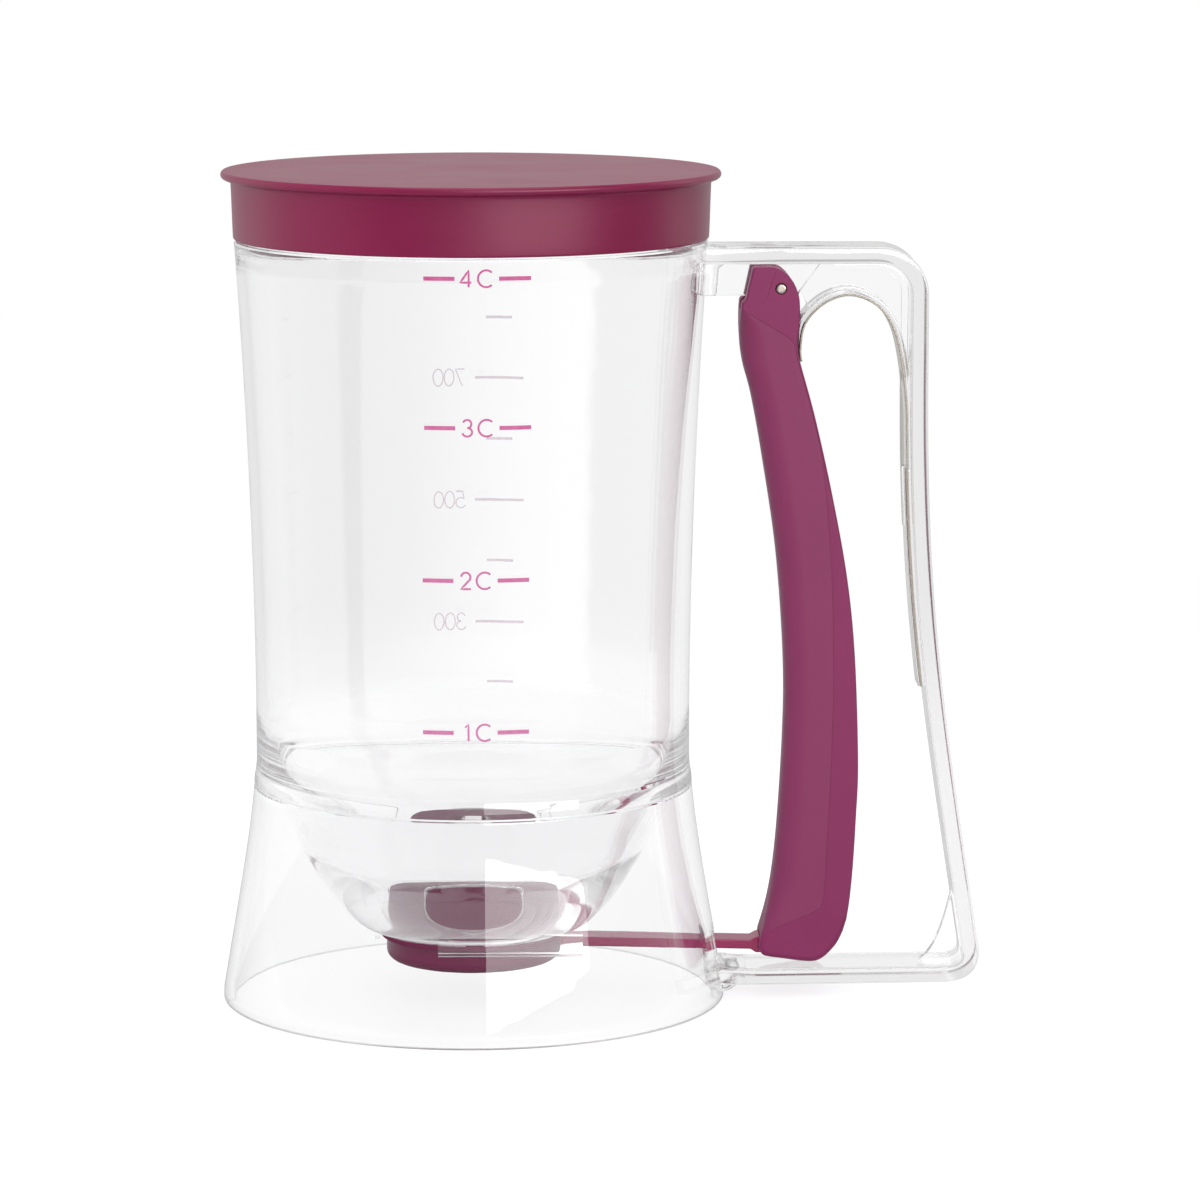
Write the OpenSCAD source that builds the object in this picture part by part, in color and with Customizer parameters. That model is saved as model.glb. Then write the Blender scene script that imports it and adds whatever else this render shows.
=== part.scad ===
// Pancake batter dispenser: a clear pitcher with a funnel bowl, a push-on lid, and a sliding valve
// under the outlet that a sprung trigger in the handle pulls open.
// Millimetres, +Z up. The origin is on the pitcher's axis, on the surface that it stands on.
// +X points to the handle, and -Y is the side that carries the cup scale.

/* [Pitcher] */
// Height of the container's rim
rim_z = 184.6; // [150:0.1:230]
// Outer radius at the shoulder under the lid
shoulder_r = 52.65; // [50:0.05:70]
// Outer radius at the waist, the narrowest place
waist_r = 48.7; // [40:0.05:60]
// Height of the waist
waist_z = 66; // [58:0.5:90]
// Outer radius of the stand at its foot
foot_r = 56.75; // [54:0.05:75]
// Height of the ring where the stand is bonded to the container
seam_z = 49; // [44:0.5:56]
// Wall thickness of the container and the stand
wall_t = 2.2; // [1.4:0.1:2.8]

/* [Outlet] */
// Radius of the outlet hole
outlet_r = 11.65; // [7:0.05:14]
// Outer radius of the flat outlet plate
plate_r = 23.5; // [22:0.1:26]
// Height of the plate's underside
plate_z = 15.4; // [14:0.1:17]
// Thickness of the plate
plate_t = 3; // [2:0.1:4]

/* [Lid] */
// How far the lid's flange stands out past its band
flange_out = 2.45; // [1:0.05:5]
// Thickness of the lid's top
lid_top_t = 1.9; // [1.2:0.1:3.5]
// Height of the lid's band
band_h = 13.4; // [8:0.1:20]
// Thickness of the lid's band
band_t = 1.75; // [1.2:0.05:3]
// Radial clearance between the lid's band and the rim
lid_gap = 0.3; // [0.2:0.05:0.6]

/* [Handle] */
// Width of the handle's flange
handle_w = 16; // [12:0.5:22]
// Thickness of the flange
flange_t = 3.8; // [2.5:0.1:5]
// Thickness of the web inside the flange
web_t = 3; // [2:0.1:4]
// How far the handle's upper corner stands out from the shoulder
reach_top = 48.75; // [42:0.25:65]
// How far the handle's lower corner stands out from the foot
reach_foot = 57.25; // [50:0.25:75]

/* [Trigger] */
// Distance of the pivot from the shoulder
pivot_out = 15.95; // [14:0.05:19]
// Distance of the pivot below the handle's top
pivot_drop = 9.3; // [8.5:0.1:12]
// Radius of the pivot pin
pin_r = 1.3; // [1:0.05:1.8]
// Width of the trigger
trigger_w = 15; // [12:0.5:18]
// Running clearance between moving plastic faces
run_gap = 0.3; // [0.2:0.05:0.5]
// Wall thickness of the grip on the trigger's sides and front
grip_t = 1.2; // [0.8:0.1:2]

/* [Valve] */
// Radius of the valve cap
cap_r = 19.7; // [16:0.1:20.5]
// Height of the valve cap without its seal
cap_h = 5.5; // [4:0.1:6]
// How far the seal stands out past the cap
seal_out = 1.3; // [0.8:0.1:1.6]
// Thickness of the seal
seal_t = 1.3; // [0.8:0.1:2]
// Width of the push arm
arm_w = 7.3; // [5:0.1:9]
// Thickness of the push arm
arm_t = 2.1; // [1.5:0.1:2.6]
// Radius of the peg in the trigger's foot
peg_r = 1.2; // [1:0.05:1.5]

/* [Spring] */
// Thickness of the steel leaf
leaf_t = 0.65; // [0.4:0.05:1]
// Width of the steel leaf
leaf_w = 11; // [8:0.5:12]
// Distance of the leaf from the handle's outer edge, where it lies along it
leaf_inset = 5.75; // [5:0.05:7]

/* [Hidden] */
$fn = 96;
curve_steps = 14;

// Heights that follow from the rim
shoulder_z = rim_z - band_h;
beam_top = shoulder_z - 1.3;
beam_low = 3;
lid_seat_gap = 0.3;

// The rim that the lid pushes over
rim_step = 1.65;
rim_t = 1.8;
rim_r = shoulder_r - rim_step;

// Pivot, and the peg that moves the valve's arm
pivot_x = shoulder_r + pivot_out;
pivot_z = beam_top - pivot_drop;
peg_x = foot_r + 10.45;
peg_z = 12.2;
head_r = 4.6;
pin_gap = 0.06;

// Valve heights, from the outlet plate down
slide_gap = 0.2;
seal_top = plate_z - slide_gap;
cap_top = seal_top - seal_t;
cap_low = cap_top - cap_h;

// Handle outline
corner_r = 10.7;
side_x = shoulder_r + reach_top;
foot_x = foot_r + reach_foot;

// ---------- curves ----------

// A cubic curve through its two end points, as a list of points
function bezier(a, b, c, d, steps = curve_steps) = [for (i = [0 : steps])
    let (t = i / steps, u = 1 - t)
    u * u * u * a + 3 * u * u * t * b + 3 * u * t * t * c + t * t * t * d];

// One span of a smooth curve through p1 and p2
function span(p0, p1, p2, p3, t) = 0.5 * (2 * p1 + (p2 - p0) * t
    + (2 * p0 - 5 * p1 + 4 * p2 - p3) * t * t + (3 * p1 - p0 - 3 * p2 + p3) * t * t * t);

// A smooth curve through all of the points
function smooth(pts, steps = 4) = let (n = len(pts) - 1) [for (i = [0 : n - 1])
    for (k = [0 : steps - (i < n - 1 ? 1 : 0)])
    span(pts[max(i - 1, 0)], pts[i], pts[i + 1], pts[min(i + 2, n)], k / steps)];

// An arc about a centre, from one angle to another
function arc(centre, r, from, to, steps = 8) = [for (i = [0 : steps])
    let (ang = from + (to - from) * i / steps) centre + r * [cos(ang), sin(ang)]];

// A curve moved sideways, to the left of its direction when d is positive
function shifted(pts, d) = let (n = len(pts) - 1) [for (i = [0 : n])
    let (t = pts[min(i + 1, n)] - pts[max(i - 1, 0)]) pts[i] + d * [-t[1], t[0]] / norm(t)];

// Two curves end to end, where the second starts at the first one's last point
function joined(a, b) = concat(a, [for (i = [1 : len(b) - 1]) b[i]]);

function reversed(pts) = [for (i = [len(pts) - 1 : -1 : 0]) pts[i]];
function above(pts, z) = [for (p = pts) if (p[1] > z) p];
function below(pts, z) = [for (p = pts) if (p[1] < z) p];

// A flat outline in the XZ plane, given its thickness about the plane of symmetry
module plate(pts, thickness) {
    translate([0, thickness / 2, 0])
        rotate([90, 0, 0])
            linear_extrude(thickness)
                polygon(pts);
}

// ---------- clear pitcher ----------

// Outer radius of the container's wall, which flares from the waist to the shoulder
flare_power = 1.785;
function wall_r(z) = z < waist_z ? waist_r
    : waist_r + (shoulder_r - waist_r) * pow((z - waist_z) / (shoulder_z - waist_z), flare_power);

// The wall turns out a little just above the seam
kink_z = seam_z + 5.5;
seam_r = waist_r + 0.6;
wall_outer = concat([[seam_r, seam_z], [waist_r, kink_z]],
    [for (i = [0 : curve_steps])
        let (z = waist_z + (shoulder_z - waist_z) * i / curve_steps) [wall_r(z), z]]);

// The bowl's underside, from the seam to the outlet plate
bowl_top_r = seam_r - wall_t - 0.6;
bowl_h = seam_z - plate_z;
bowl_outer = bezier([bowl_top_r, seam_z], [bowl_top_r - 5, seam_z - 0.313 * bowl_h],
    [plate_r + 8, plate_z + 0.137 * bowl_h], [plate_r, plate_z]);
bowl_inner = above(shifted(bowl_outer, -wall_t), plate_z + plate_t);

module container() {
    inner_r = waist_r - wall_t;
    wall_inner = [for (p = wall_outer) if (p[1] > kink_z + 1 && p[1] < shoulder_z - 4) [p[0] - wall_t, p[1]]];
    rim = [[shoulder_r, shoulder_z], [rim_r, shoulder_z], [rim_r, rim_z - 0.5], [rim_r - 0.5, rim_z],
        [rim_r - rim_t + 0.5, rim_z], [rim_r - rim_t, rim_z - 0.5], [rim_r - rim_t, shoulder_z]];
    profile = concat([[outlet_r, plate_z]], reversed(bowl_outer), wall_outer, rim,
        reversed(wall_inner), [[inner_r, kink_z]], bowl_inner,
        [[bowl_inner[len(bowl_inner) - 1][0] - 1, plate_z + plate_t], [outlet_r, plate_z + plate_t]]);
    color([0.93, 0.93, 0.96, 0.35])
        rotate_extrude()
            polygon(profile);
}

// The stand's outer curve, from the seam to the foot
skirt_outer = bezier([seam_r, seam_z], [seam_r + 1.1, 0.735 * seam_z],
    [foot_r - 3.05, 0.4 * seam_z], [foot_r, 1]);
land_h = 3;
land_r = foot_r - wall_t + 0.05;

// The slot that lets the valve's arm through the stand
slot_w = arm_w + 2.7;
slot_low = 6.8;
slot_top = 15;

module base_skirt() {
    inner = [for (p = below(skirt_outer, seam_z)) if (p[1] > land_h + 1) [p[0] - wall_t, p[1]]];
    profile = concat(skirt_outer, [[foot_r - 0.45, 0], [land_r, 0], [land_r, land_h]],
        reversed(inner), [[seam_r - wall_t, seam_z]]);
    color([0.93, 0.93, 0.96, 0.35])
        difference() {
            rotate_extrude()
                polygon(profile);
            slot_r = slot_w / 2 - 2;
            translate([foot_r - 8, 0, 0])
                rotate([90, 0, 90])
                    linear_extrude(12)
                        union() {
                            translate([-slot_w / 2, slot_low + 2])
                                square([slot_w, slot_top - slot_low - 4]);
                            translate([-slot_r, slot_low])
                                square([2 * slot_r, slot_top - slot_low]);
                            for (y = [-slot_r, slot_r], z = [slot_low + 2, slot_top - 2])
                                translate([y, z])
                                    circle(2);
                        }
        }
}

// Everything within the pitcher's outer surface, which the handle's roots are cut to
module pitcher_envelope() {
    rotate_extrude()
        polygon(concat([[0, 0], [foot_r - 0.45, 0]], reversed(skirt_outer), wall_outer,
            [[shoulder_r, rim_z], [0, rim_z]]));
}

// The space that the bowl takes above the outlet plate's underside
module bowl_body() {
    rotate_extrude()
        polygon(concat([[0, seam_z], [0, plate_z]], reversed(bowl_outer)));
}

// Rails that carry the seal's edge, and the stop that ends its closing travel
guide_gap = 0.2;
rail_in = cap_r + seal_out + guide_gap;
rail_t = 1.2;
lip_in = cap_r + 0.3;
lip_top = cap_top - slide_gap;
lip_low = lip_top - 1.1;
rail_x0 = -8;
rail_x1 = 24;
stop_w = 5;

module rail() {
    translate([rail_x0, rail_in, lip_low])
        cube([rail_x1 - rail_x0, rail_t, seam_z - 10 - lip_low]);
    translate([rail_x0, lip_in, lip_low])
        cube([rail_x1 - rail_x0, rail_in + rail_t - lip_in, lip_top - lip_low]);
}

module valve_guide() {
    color([0.9, 0.9, 0.95, 0.4])
        difference() {
            union() {
                rail();
                mirror([0, 1, 0])
                    rail();
                translate([-rail_in - rail_t, -stop_w / 2, lip_low])
                    cube([rail_t, stop_w, plate_z - lip_low]);
            }
            bowl_body();
            translate([rail_x0 - 1, -50, seam_z - 24])
                cube([rail_x1 - rail_x0 + 2, 100, 50]);
        }
}

// ---------- handle ----------

// Outer edge of the handle, from the top beam's root round to the lower beam's root
side_pts = bezier([side_x, 0.82 * beam_top], [side_x, 0.52 * beam_top],
    [side_x + 0.38 * (foot_x - side_x), 0.365 * beam_top], [foot_x, 11.4]);
corner_low = bezier([foot_x, 11.4], [foot_x + 0.8, 6.3], [foot_x - 2.5, 3.4], [foot_x - 8, 3.4], 8);
handle_outer = concat([[shoulder_r - 3, beam_top], [side_x - corner_r - 10, beam_top]],
    arc([side_x - corner_r, beam_top - corner_r], corner_r, 90, 0), joined(side_pts, corner_low),
    [[foot_x - 30, 3.2], [foot_r + 7, beam_low], [foot_r - 4, beam_low]]);
handle_inner = shifted(handle_outer, -flange_t);

// The leaf spring's centre line: a hairpin that stands on the trigger's back, arches over and runs
// down along the handle
leaf_top_x = side_x - leaf_inset;
arch_w = leaf_top_x - pivot_x;
leaf_end_z = 0.43 * beam_top;
leaf_arch = smooth([[pivot_x + 4.2, pivot_z - 13.9], [pivot_x + 5.4, pivot_z - 7.9],
    [pivot_x + 0.35 * arch_w, pivot_z - 3.3], [pivot_x + 0.55 * arch_w, pivot_z - 1.6],
    [pivot_x + 0.76 * arch_w, pivot_z - 3.9], [pivot_x + 0.895 * arch_w, pivot_z - 9.4],
    [pivot_x + 0.967 * arch_w, pivot_z - 18.1], [leaf_top_x, pivot_z - 28]]);
leaf_straight = [for (p = above(shifted(side_pts, -leaf_inset), leaf_end_z)) if (p[1] < pivot_z - 33) p];
leaf_line = concat(leaf_arch, leaf_straight);
pocket_top = 0.72 * beam_top;
pocket_wall = 1.6;
pocket_lip = 0.6;
pocket_gap = 0.06;

// The side of the leaf where the web stands
web_edge = [for (p = shifted(leaf_line, leaf_t / 2 + pocket_gap)) if (p[0] > pivot_x + 0.3 * arch_w) p];
web_low = beam_top - 11.3;

module handle_web() {
    inner_side = [for (p = handle_inner)
        if (p[1] > leaf_end_z - 4 && p[1] < beam_top - corner_r && p[0] > pivot_x) p];
    plate(concat([[shoulder_r - 3, beam_top - 1], [shoulder_r - 3, web_low], [pivot_x - 6.5, web_low]],
        arc([pivot_x, pivot_z], head_r, 205, 320), web_edge,
        reversed([for (p = inner_side) p + [1, 0]]),
        [[side_x - flange_t - corner_r / 2, beam_top - corner_r / 2],
        [side_x - corner_r, beam_top - 1]]), web_t);
}

// The pocket that holds the leaf against the flange, with thin walls beside the leaf and in front of it
module leaf_pocket() {
    pocket_line = below(leaf_line, pocket_top);
    front = shifted(pocket_line, -(leaf_t / 2 + pocket_gap + pocket_lip));
    back = [for (p = handle_inner)
        if (p[1] < pocket_top + 1 && p[1] > leaf_end_z && p[0] > pivot_x) p + [0.5, 0]];
    difference() {
        plate(concat(front, reversed(back)), leaf_w + 2 * (pocket_gap + pocket_wall));
        plate(concat(shifted(leaf_line, -(leaf_t / 2 + pocket_gap)),
            reversed(shifted(leaf_line, leaf_t / 2 + pocket_gap))), leaf_w + 2 * pocket_gap);
    }
}

module handle() {
    gusset = concat([[foot_x - 14.5, beam_low + flange_t - 0.5], [foot_x - 14.5, beam_low + flange_t + 0.2]],
        bezier([foot_x - 13.5, beam_low + flange_t + 0.3], [foot_x - 9, beam_low + flange_t + 2],
            [foot_x - 7.6, 15], [foot_x - 6.3, 20.6], 6), [[foot_x - 3, 20.6], [foot_x - 3, beam_low + 2]]);
    root_low = [[foot_r - 6, 0.8], [foot_r - 0.4, 0.8], [foot_r + 2.6, beam_low], [foot_r + 7, beam_low],
        [foot_r + 7, beam_low + flange_t], [foot_r - 6, beam_low + flange_t]];
    root_high = [[shoulder_r - 4, web_low], [shoulder_r + 1.8, web_low],
        [shoulder_r + 2.3, beam_top - flange_t], [shoulder_r - 4, beam_top - flange_t]];
    color([0.93, 0.93, 0.96, 0.35])
        difference() {
            union() {
                plate(concat(handle_outer, reversed(handle_inner)), handle_w);
                handle_web();
                leaf_pocket();
                plate(gusset, web_t);
                plate(root_low, handle_w + 2);
                plate(root_high, 8);
            }
            pitcher_envelope();
            translate([pivot_x, 0, pivot_z])
                rotate([90, 0, 0])
                    cylinder(r = pin_r + pin_gap, h = 2 * web_t, center = true);
        }
}

module return_spring() {
    color([0.8, 0.79, 0.77])
        plate(concat(shifted(leaf_line, -leaf_t / 2), reversed(shifted(leaf_line, leaf_t / 2))), leaf_w);
}

// ---------- lid ----------

module lid() {
    band_in = rim_r + lid_gap;
    band_out = band_in + band_t;
    low = shoulder_z + 0.4;
    under = rim_z + lid_seat_gap;
    top = under + lid_top_t;
    flange_r = band_out + flange_out;
    edge = lid_top_t / 2;
    color([0.5, 0.2, 0.33])
        rotate_extrude()
            polygon(concat([[0, under], [band_in, under], [band_in, low], [band_out - 0.2, low],
                [band_out, low + 0.3], [band_out + 0.3, under]],
                arc([flange_r - edge, top - edge], edge, -90, 90, 6), [[0, top]]));
}

// ---------- trigger ----------

// A point of the trigger, from its distance down from the pivot as a share of the distance to the peg,
// and its offset from the line between them
function on_trigger(down, out) =
    [pivot_x + (peg_x - pivot_x) * down + out, pivot_z + (peg_z - pivot_z) * down];

// A point of the trigger's head, which keeps its shape about the pivot in a trigger of any length
function near_pivot(dx, dz) = [pivot_x + dx, pivot_z + dz];

front_edge = smooth([near_pivot(-9.59, -9.35), near_pivot(-8.95, -15.58), on_trigger(0.165, -6.2),
    on_trigger(0.256, -3.4), on_trigger(0.4, 0), on_trigger(0.56, 2), on_trigger(0.68, 2.15),
    on_trigger(0.837, 1), on_trigger(0.93, -0.6), on_trigger(0.99, -2.5)]);
back_edge = smooth([near_pivot(3.59, -11.58), near_pivot(4.15, -16.32), on_trigger(0.196, 8.1),
    on_trigger(0.317, 12.3), on_trigger(0.44, 15.8), on_trigger(0.56, 17.8), on_trigger(0.72, 18.9),
    on_trigger(0.807, 18.6), on_trigger(0.917, 17.5), on_trigger(0.985, 14.9)]);
foot_edge = smooth([on_trigger(1.012, 13), on_trigger(1.024, 10.4), on_trigger(1.025, 8.4),
    on_trigger(1.021, 2.4), on_trigger(1.017, -1.6), on_trigger(1.01, -2.85)], 3);
head_edge = concat([near_pivot(-9.25, -5.19), near_pivot(-8.52, -1.93), near_pivot(-6.75, 4.75)],
    arc([pivot_x, pivot_z], head_r, 100, -20), [near_pivot(4.44, -6.38), near_pivot(3.91, -9.35)]);
trigger_outline = concat(reversed(front_edge), head_edge, back_edge, foot_edge);

// The crease that the grip ends on, from its upper end on the front, down the side to the front again
grip_line = [near_pivot(-14, -4), near_pivot(-8.3, -4), near_pivot(2.7, -10.83), near_pivot(3.99, -11.87),
    on_trigger(0.256, 9.6), on_trigger(0.41, 12.6), on_trigger(0.52, 13), on_trigger(0.63, 13.3),
    on_trigger(0.886, 11.7), on_trigger(0.942, 10.3), on_trigger(0.987, -0.6), on_trigger(0.987, -14)];

module grip_region(front_in) {
    intersection() {
        polygon(trigger_outline);
        polygon(grip_line);
        translate([front_in, 0])
            polygon(trigger_outline);
    }
}

// The grip's region as a solid of the given width, with its front face set in
module grip_solid(width, front_in) {
    translate([0, width / 2, 0])
        rotate([90, 0, 0])
            linear_extrude(width)
                grip_region(front_in);
}

// Room for the handle's web between the fork's cheeks, and for the arm's hook in the foot
module trigger_slots() {
    fork = web_t + 2 * run_gap;
    fork_low = pivot_z - head_r - run_gap - 0.1;
    translate([pivot_x - 12, -fork / 2, fork_low])
        cube([24, fork, 20]);
    room = arm_w + 2 * run_gap;
    translate([peg_x - 8, -room / 2, peg_z - 6])
        cube([7, room, 7.5]);
    translate([peg_x - 1.6, -room / 2, peg_z - 6])
        cube([5.9, room, 10]);
}

module trigger_lever() {
    color([0.55, 0.25, 0.4])
        union() {
            difference() {
                plate(trigger_outline, trigger_w);
                grip_solid(trigger_w + 2, 0);
                trigger_slots();
                translate([pivot_x, 0, pivot_z])
                    rotate([90, 0, 0])
                        cylinder(r = pin_r, h = trigger_w + 2, center = true);
            }
            difference() {
                grip_solid(trigger_w - 2 * grip_t, grip_t);
                trigger_slots();
            }
            translate([peg_x, 0, peg_z])
                rotate([90, 0, 0])
                    cylinder(r = peg_r, h = arm_w + 2 * run_gap + 1, center = true);
        }
}

module trigger_grip() {
    color([0.58, 0.28, 0.43])
        difference() {
            grip_solid(trigger_w, 0);
            grip_solid(trigger_w - 2 * grip_t, grip_t);
            trigger_slots();
        }
}

module pivot_pin() {
    color([0.75, 0.74, 0.72])
        translate([pivot_x, 0, pivot_z])
            rotate([90, 0, 0])
                cylinder(r = pin_r, h = trigger_w - 0.6, center = true);
}

// ---------- valve ----------

// A shallow cup with a rounded lower edge
module valve_cap() {
    edge = 2.4;
    cup_t = 1.8;
    color([0.5, 0.2, 0.36])
        rotate_extrude()
            polygon(concat([[0, cap_low]], arc([cap_r - edge, cap_low + edge], edge, -90, 0, 6),
                [[cap_r, cap_top], [cap_r - cup_t, cap_top], [cap_r - cup_t, cap_low + cup_t + 0.6],
                [0, cap_low + cup_t]]));
}

module valve_seal() {
    color([0.45, 0.16, 0.3])
        translate([0, 0, cap_top])
            cylinder(r = cap_r + seal_out, h = seal_t);
}

// The push arm: a flat bar that steps down towards the trigger and ends in a hook about the peg
module valve_arm() {
    hook_gap = 0.1;
    low_near = peg_z - 1.8;
    low_far = low_near + 0.9;
    hook_low = peg_z - 2.6;
    hook_in = peg_r + hook_gap;
    color([0.52, 0.22, 0.38])
        difference() {
            plate([[0, low_far], [cap_r + 8, low_far], [peg_x - 7, low_near], [peg_x - 5, hook_low],
                [peg_x + 3, hook_low], [peg_x + 3, peg_z + 3], [peg_x + hook_in, peg_z + 3],
                [peg_x + hook_in, peg_z], [peg_x - hook_in, peg_z], [peg_x - hook_in, peg_z + 1.1],
                [peg_x - 3.5, peg_z + 1.1], [peg_x - 3.5, peg_z + 1.7], [peg_x - 5, peg_z + 1.7],
                [peg_x - 6.5, low_near + arm_t], [cap_r + 8, low_far + arm_t], [0, low_far + arm_t]], arm_w);
            translate([peg_x, 0, peg_z])
                rotate([90, 0, 0])
                    cylinder(r = hook_in, h = arm_w + 1, center = true);
            translate([0, 0, cap_low - 1])
                cylinder(r = cap_r, h = cap_h + seal_t + 4);
        }
}

container();
base_skirt();
valve_guide();
handle();
return_spring();
lid();
trigger_lever();
trigger_grip();
pivot_pin();
valve_cap();
valve_seal();
valve_arm();
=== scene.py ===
"""Pancake batter dispenser: the finished look of a clear pitcher whose handle trigger slides a valve.

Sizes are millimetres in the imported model's frame, with +X to the handle and -Y to the cup scale.
settle() turns each finished mesh to metres, which is what the frame holds.
"""
import logging
import math
from collections.abc import Iterator
from contextlib import contextmanager
from dataclasses import dataclass, field
from enum import Enum

import bmesh
import bpy
import numpy as np
from mathutils import Matrix, Vector


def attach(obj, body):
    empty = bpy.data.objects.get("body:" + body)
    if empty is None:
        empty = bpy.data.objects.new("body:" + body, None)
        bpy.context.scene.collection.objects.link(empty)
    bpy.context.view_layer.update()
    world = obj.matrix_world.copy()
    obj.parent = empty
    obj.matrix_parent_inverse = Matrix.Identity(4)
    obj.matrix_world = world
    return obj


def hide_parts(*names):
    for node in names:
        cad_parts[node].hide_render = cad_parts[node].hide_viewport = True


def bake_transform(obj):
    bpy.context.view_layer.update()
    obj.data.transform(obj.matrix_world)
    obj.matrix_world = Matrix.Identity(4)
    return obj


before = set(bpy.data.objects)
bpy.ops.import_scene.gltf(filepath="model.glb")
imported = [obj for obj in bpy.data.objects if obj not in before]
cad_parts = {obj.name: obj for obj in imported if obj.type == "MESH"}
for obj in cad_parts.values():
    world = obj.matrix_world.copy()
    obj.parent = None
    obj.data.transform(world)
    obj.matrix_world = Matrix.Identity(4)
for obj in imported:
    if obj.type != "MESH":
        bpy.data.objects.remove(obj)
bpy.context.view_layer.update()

log = logging.getLogger("dispenser")
MM = 0.001
MERGE = 1e-4
WHITE = (1.0, 1.0, 1.0, 1.0)
CUP_STROKE = 0.45
ML_STROKE = 0.3
Line = np.ndarray
Piece = bpy.types.Object
Material = bpy.types.Material
Socket = bpy.types.NodeSocket


# ---------------------------------------------------------------- curves


def bezier(a: tuple, b: tuple, c: tuple, d: tuple, steps: int) -> Line:
    """A cubic curve from a to d.

    Args:
        a, b, c, d: the end points and, between them, the two handles.
        steps: how many spans the curve has.

    Returns:
        The points as rows.
    """
    t = np.linspace(0.0, 1.0, steps + 1)[:, None]
    u = 1.0 - t
    a, b, c, d = (np.array(p, float) for p in (a, b, c, d))
    return u**3 * a + 3 * u**2 * t * b + 3 * u * t**2 * c + t**3 * d


def smooth(points: list, steps: int = 8) -> Line:
    """A smooth curve through all of the points.

    Args:
        points: the points to pass through.
        steps: how many spans lie between two of them.

    Returns:
        The points as rows.
    """
    p = np.array(points, float)
    p = np.vstack([p[:1], p, p[-1:]])
    out = []
    for i in range(1, len(p) - 2):
        for k in range(steps):
            t = k / steps
            out.append(0.5 * (2 * p[i] + (p[i + 1] - p[i - 1]) * t
                              + (2 * p[i - 1] - 5 * p[i] + 4 * p[i + 1] - p[i + 2]) * t * t
                              + (3 * p[i] - p[i - 1] - 3 * p[i + 1] + p[i + 2]) * t**3))
    out.append(p[-2])
    return np.array(out)


def arc(centre: tuple, radius: float, start: float, stop: float, steps: int) -> Line:
    """An arc about a centre.

    Args:
        centre: the arc's centre.
        radius: its radius.
        start, stop: its angles in degrees.
        steps: how many spans it has.

    Returns:
        The points as rows.
    """
    a = np.radians(np.linspace(start, stop, steps + 1))
    return np.array(centre, float) + radius * np.stack([np.cos(a), np.sin(a)], 1)


def shifted(line: Line, distance: float) -> Line:
    """A line moved sideways.

    Args:
        line: the line.
        distance: how far it moves, to the left of its direction where this is positive.

    Returns:
        The points as rows.
    """
    t = np.gradient(line, axis=0)
    t /= np.linalg.norm(t, axis=1)[:, None]
    return line + distance * np.stack([-t[:, 1], t[:, 0]], 1)


def chained(*lines: Line) -> Line:
    """Lines end to end, without the points that repeat.

    Args:
        *lines: the lines, or lists of points, in order.

    Returns:
        The points as rows.
    """
    points = np.vstack([np.atleast_2d(np.array(line, float)) for line in lines])
    keep = np.ones(len(points), bool)
    keep[1:] = np.linalg.norm(np.diff(points, axis=0), axis=1) > 1e-3
    points = points[keep]
    return points[:-1] if np.linalg.norm(points[0] - points[-1]) < 1e-3 else points


def area(outline: Line) -> float:
    """The signed area of a closed outline, positive where it runs anticlockwise."""
    x, y = outline[:, 0], outline[:, 1]
    return 0.5 * float(np.sum(x * np.roll(y, -1) - np.roll(x, -1) * y))


def softened(outline: Line, radius: float, steps: int = 4, limit: float = 24.0) -> Line:
    """A closed outline whose sharp corners are rounded.

    Args:
        outline: the corners.
        radius: the rounding's radius, kept within the edges beside each corner.
        steps: how many spans each rounding has.
        limit: corners that turn less than this many degrees are left alone.

    Returns:
        The rounded outline.
    """
    room = 0.46
    out = []
    for before, p, after in zip(np.roll(outline, 1, 0), outline, np.roll(outline, -1, 0)):
        u, v = before - p, after - p
        lu, lv = np.linalg.norm(u), np.linalg.norm(v)
        u, v = u / lu, v / lv
        turn = math.pi - math.acos(float(np.clip(u @ v, -1, 1)))
        if math.degrees(turn) < limit:
            out.append(p)
            continue
        reach = min(radius * math.tan(turn / 2), room * lu, room * lv)
        a, b = p + u * reach, p + v * reach
        for k in range(steps + 1):
            t = k / steps
            out.append((1 - t) ** 2 * a + 2 * t * (1 - t) * p + t * t * b)
    return np.array(out)


def inward(outline: Line) -> Line:
    """The inward direction at each corner of a closed outline, mitred.

    Args:
        outline: the corners, anticlockwise.

    Returns:
        A row for each corner.
    """
    ahead = np.roll(outline, -1, 0) - outline
    behind = outline - np.roll(outline, 1, 0)
    ahead /= np.linalg.norm(ahead, axis=1)[:, None]
    behind /= np.linalg.norm(behind, axis=1)[:, None]
    n1 = np.stack([-ahead[:, 1], ahead[:, 0]], 1)
    n2 = np.stack([-behind[:, 1], behind[:, 0]], 1)
    mid = n1 + n2
    mid /= np.maximum(np.linalg.norm(mid, axis=1), 1e-6)[:, None]
    return mid / np.maximum(np.sum(mid * n1, 1), 0.5)[:, None]


# ---------------------------------------------------------------- meshes


def placed(name: str, data: bpy.types.ID) -> Piece:
    """A new object in the scene.

    Args:
        name: the object's name.
        data: its mesh, lamp or camera.

    Returns:
        The object.
    """
    thing = bpy.data.objects.new(name, data)
    bpy.context.scene.collection.objects.link(thing)
    return thing


def make(name: str, vertices: Line | list, faces: list, edges: tuple | list = ()) -> Piece:
    """A new mesh object in the scene.

    Args:
        name: the object's name.
        vertices: its points as rows.
        faces: its faces as lists of point numbers.
        edges: its loose edges as pairs of point numbers.

    Returns:
        The object.
    """
    mesh = bpy.data.meshes.new(name)
    mesh.from_pydata([tuple(v) for v in vertices], edges, faces)
    mesh.validate()
    return placed(name, mesh)


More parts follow.
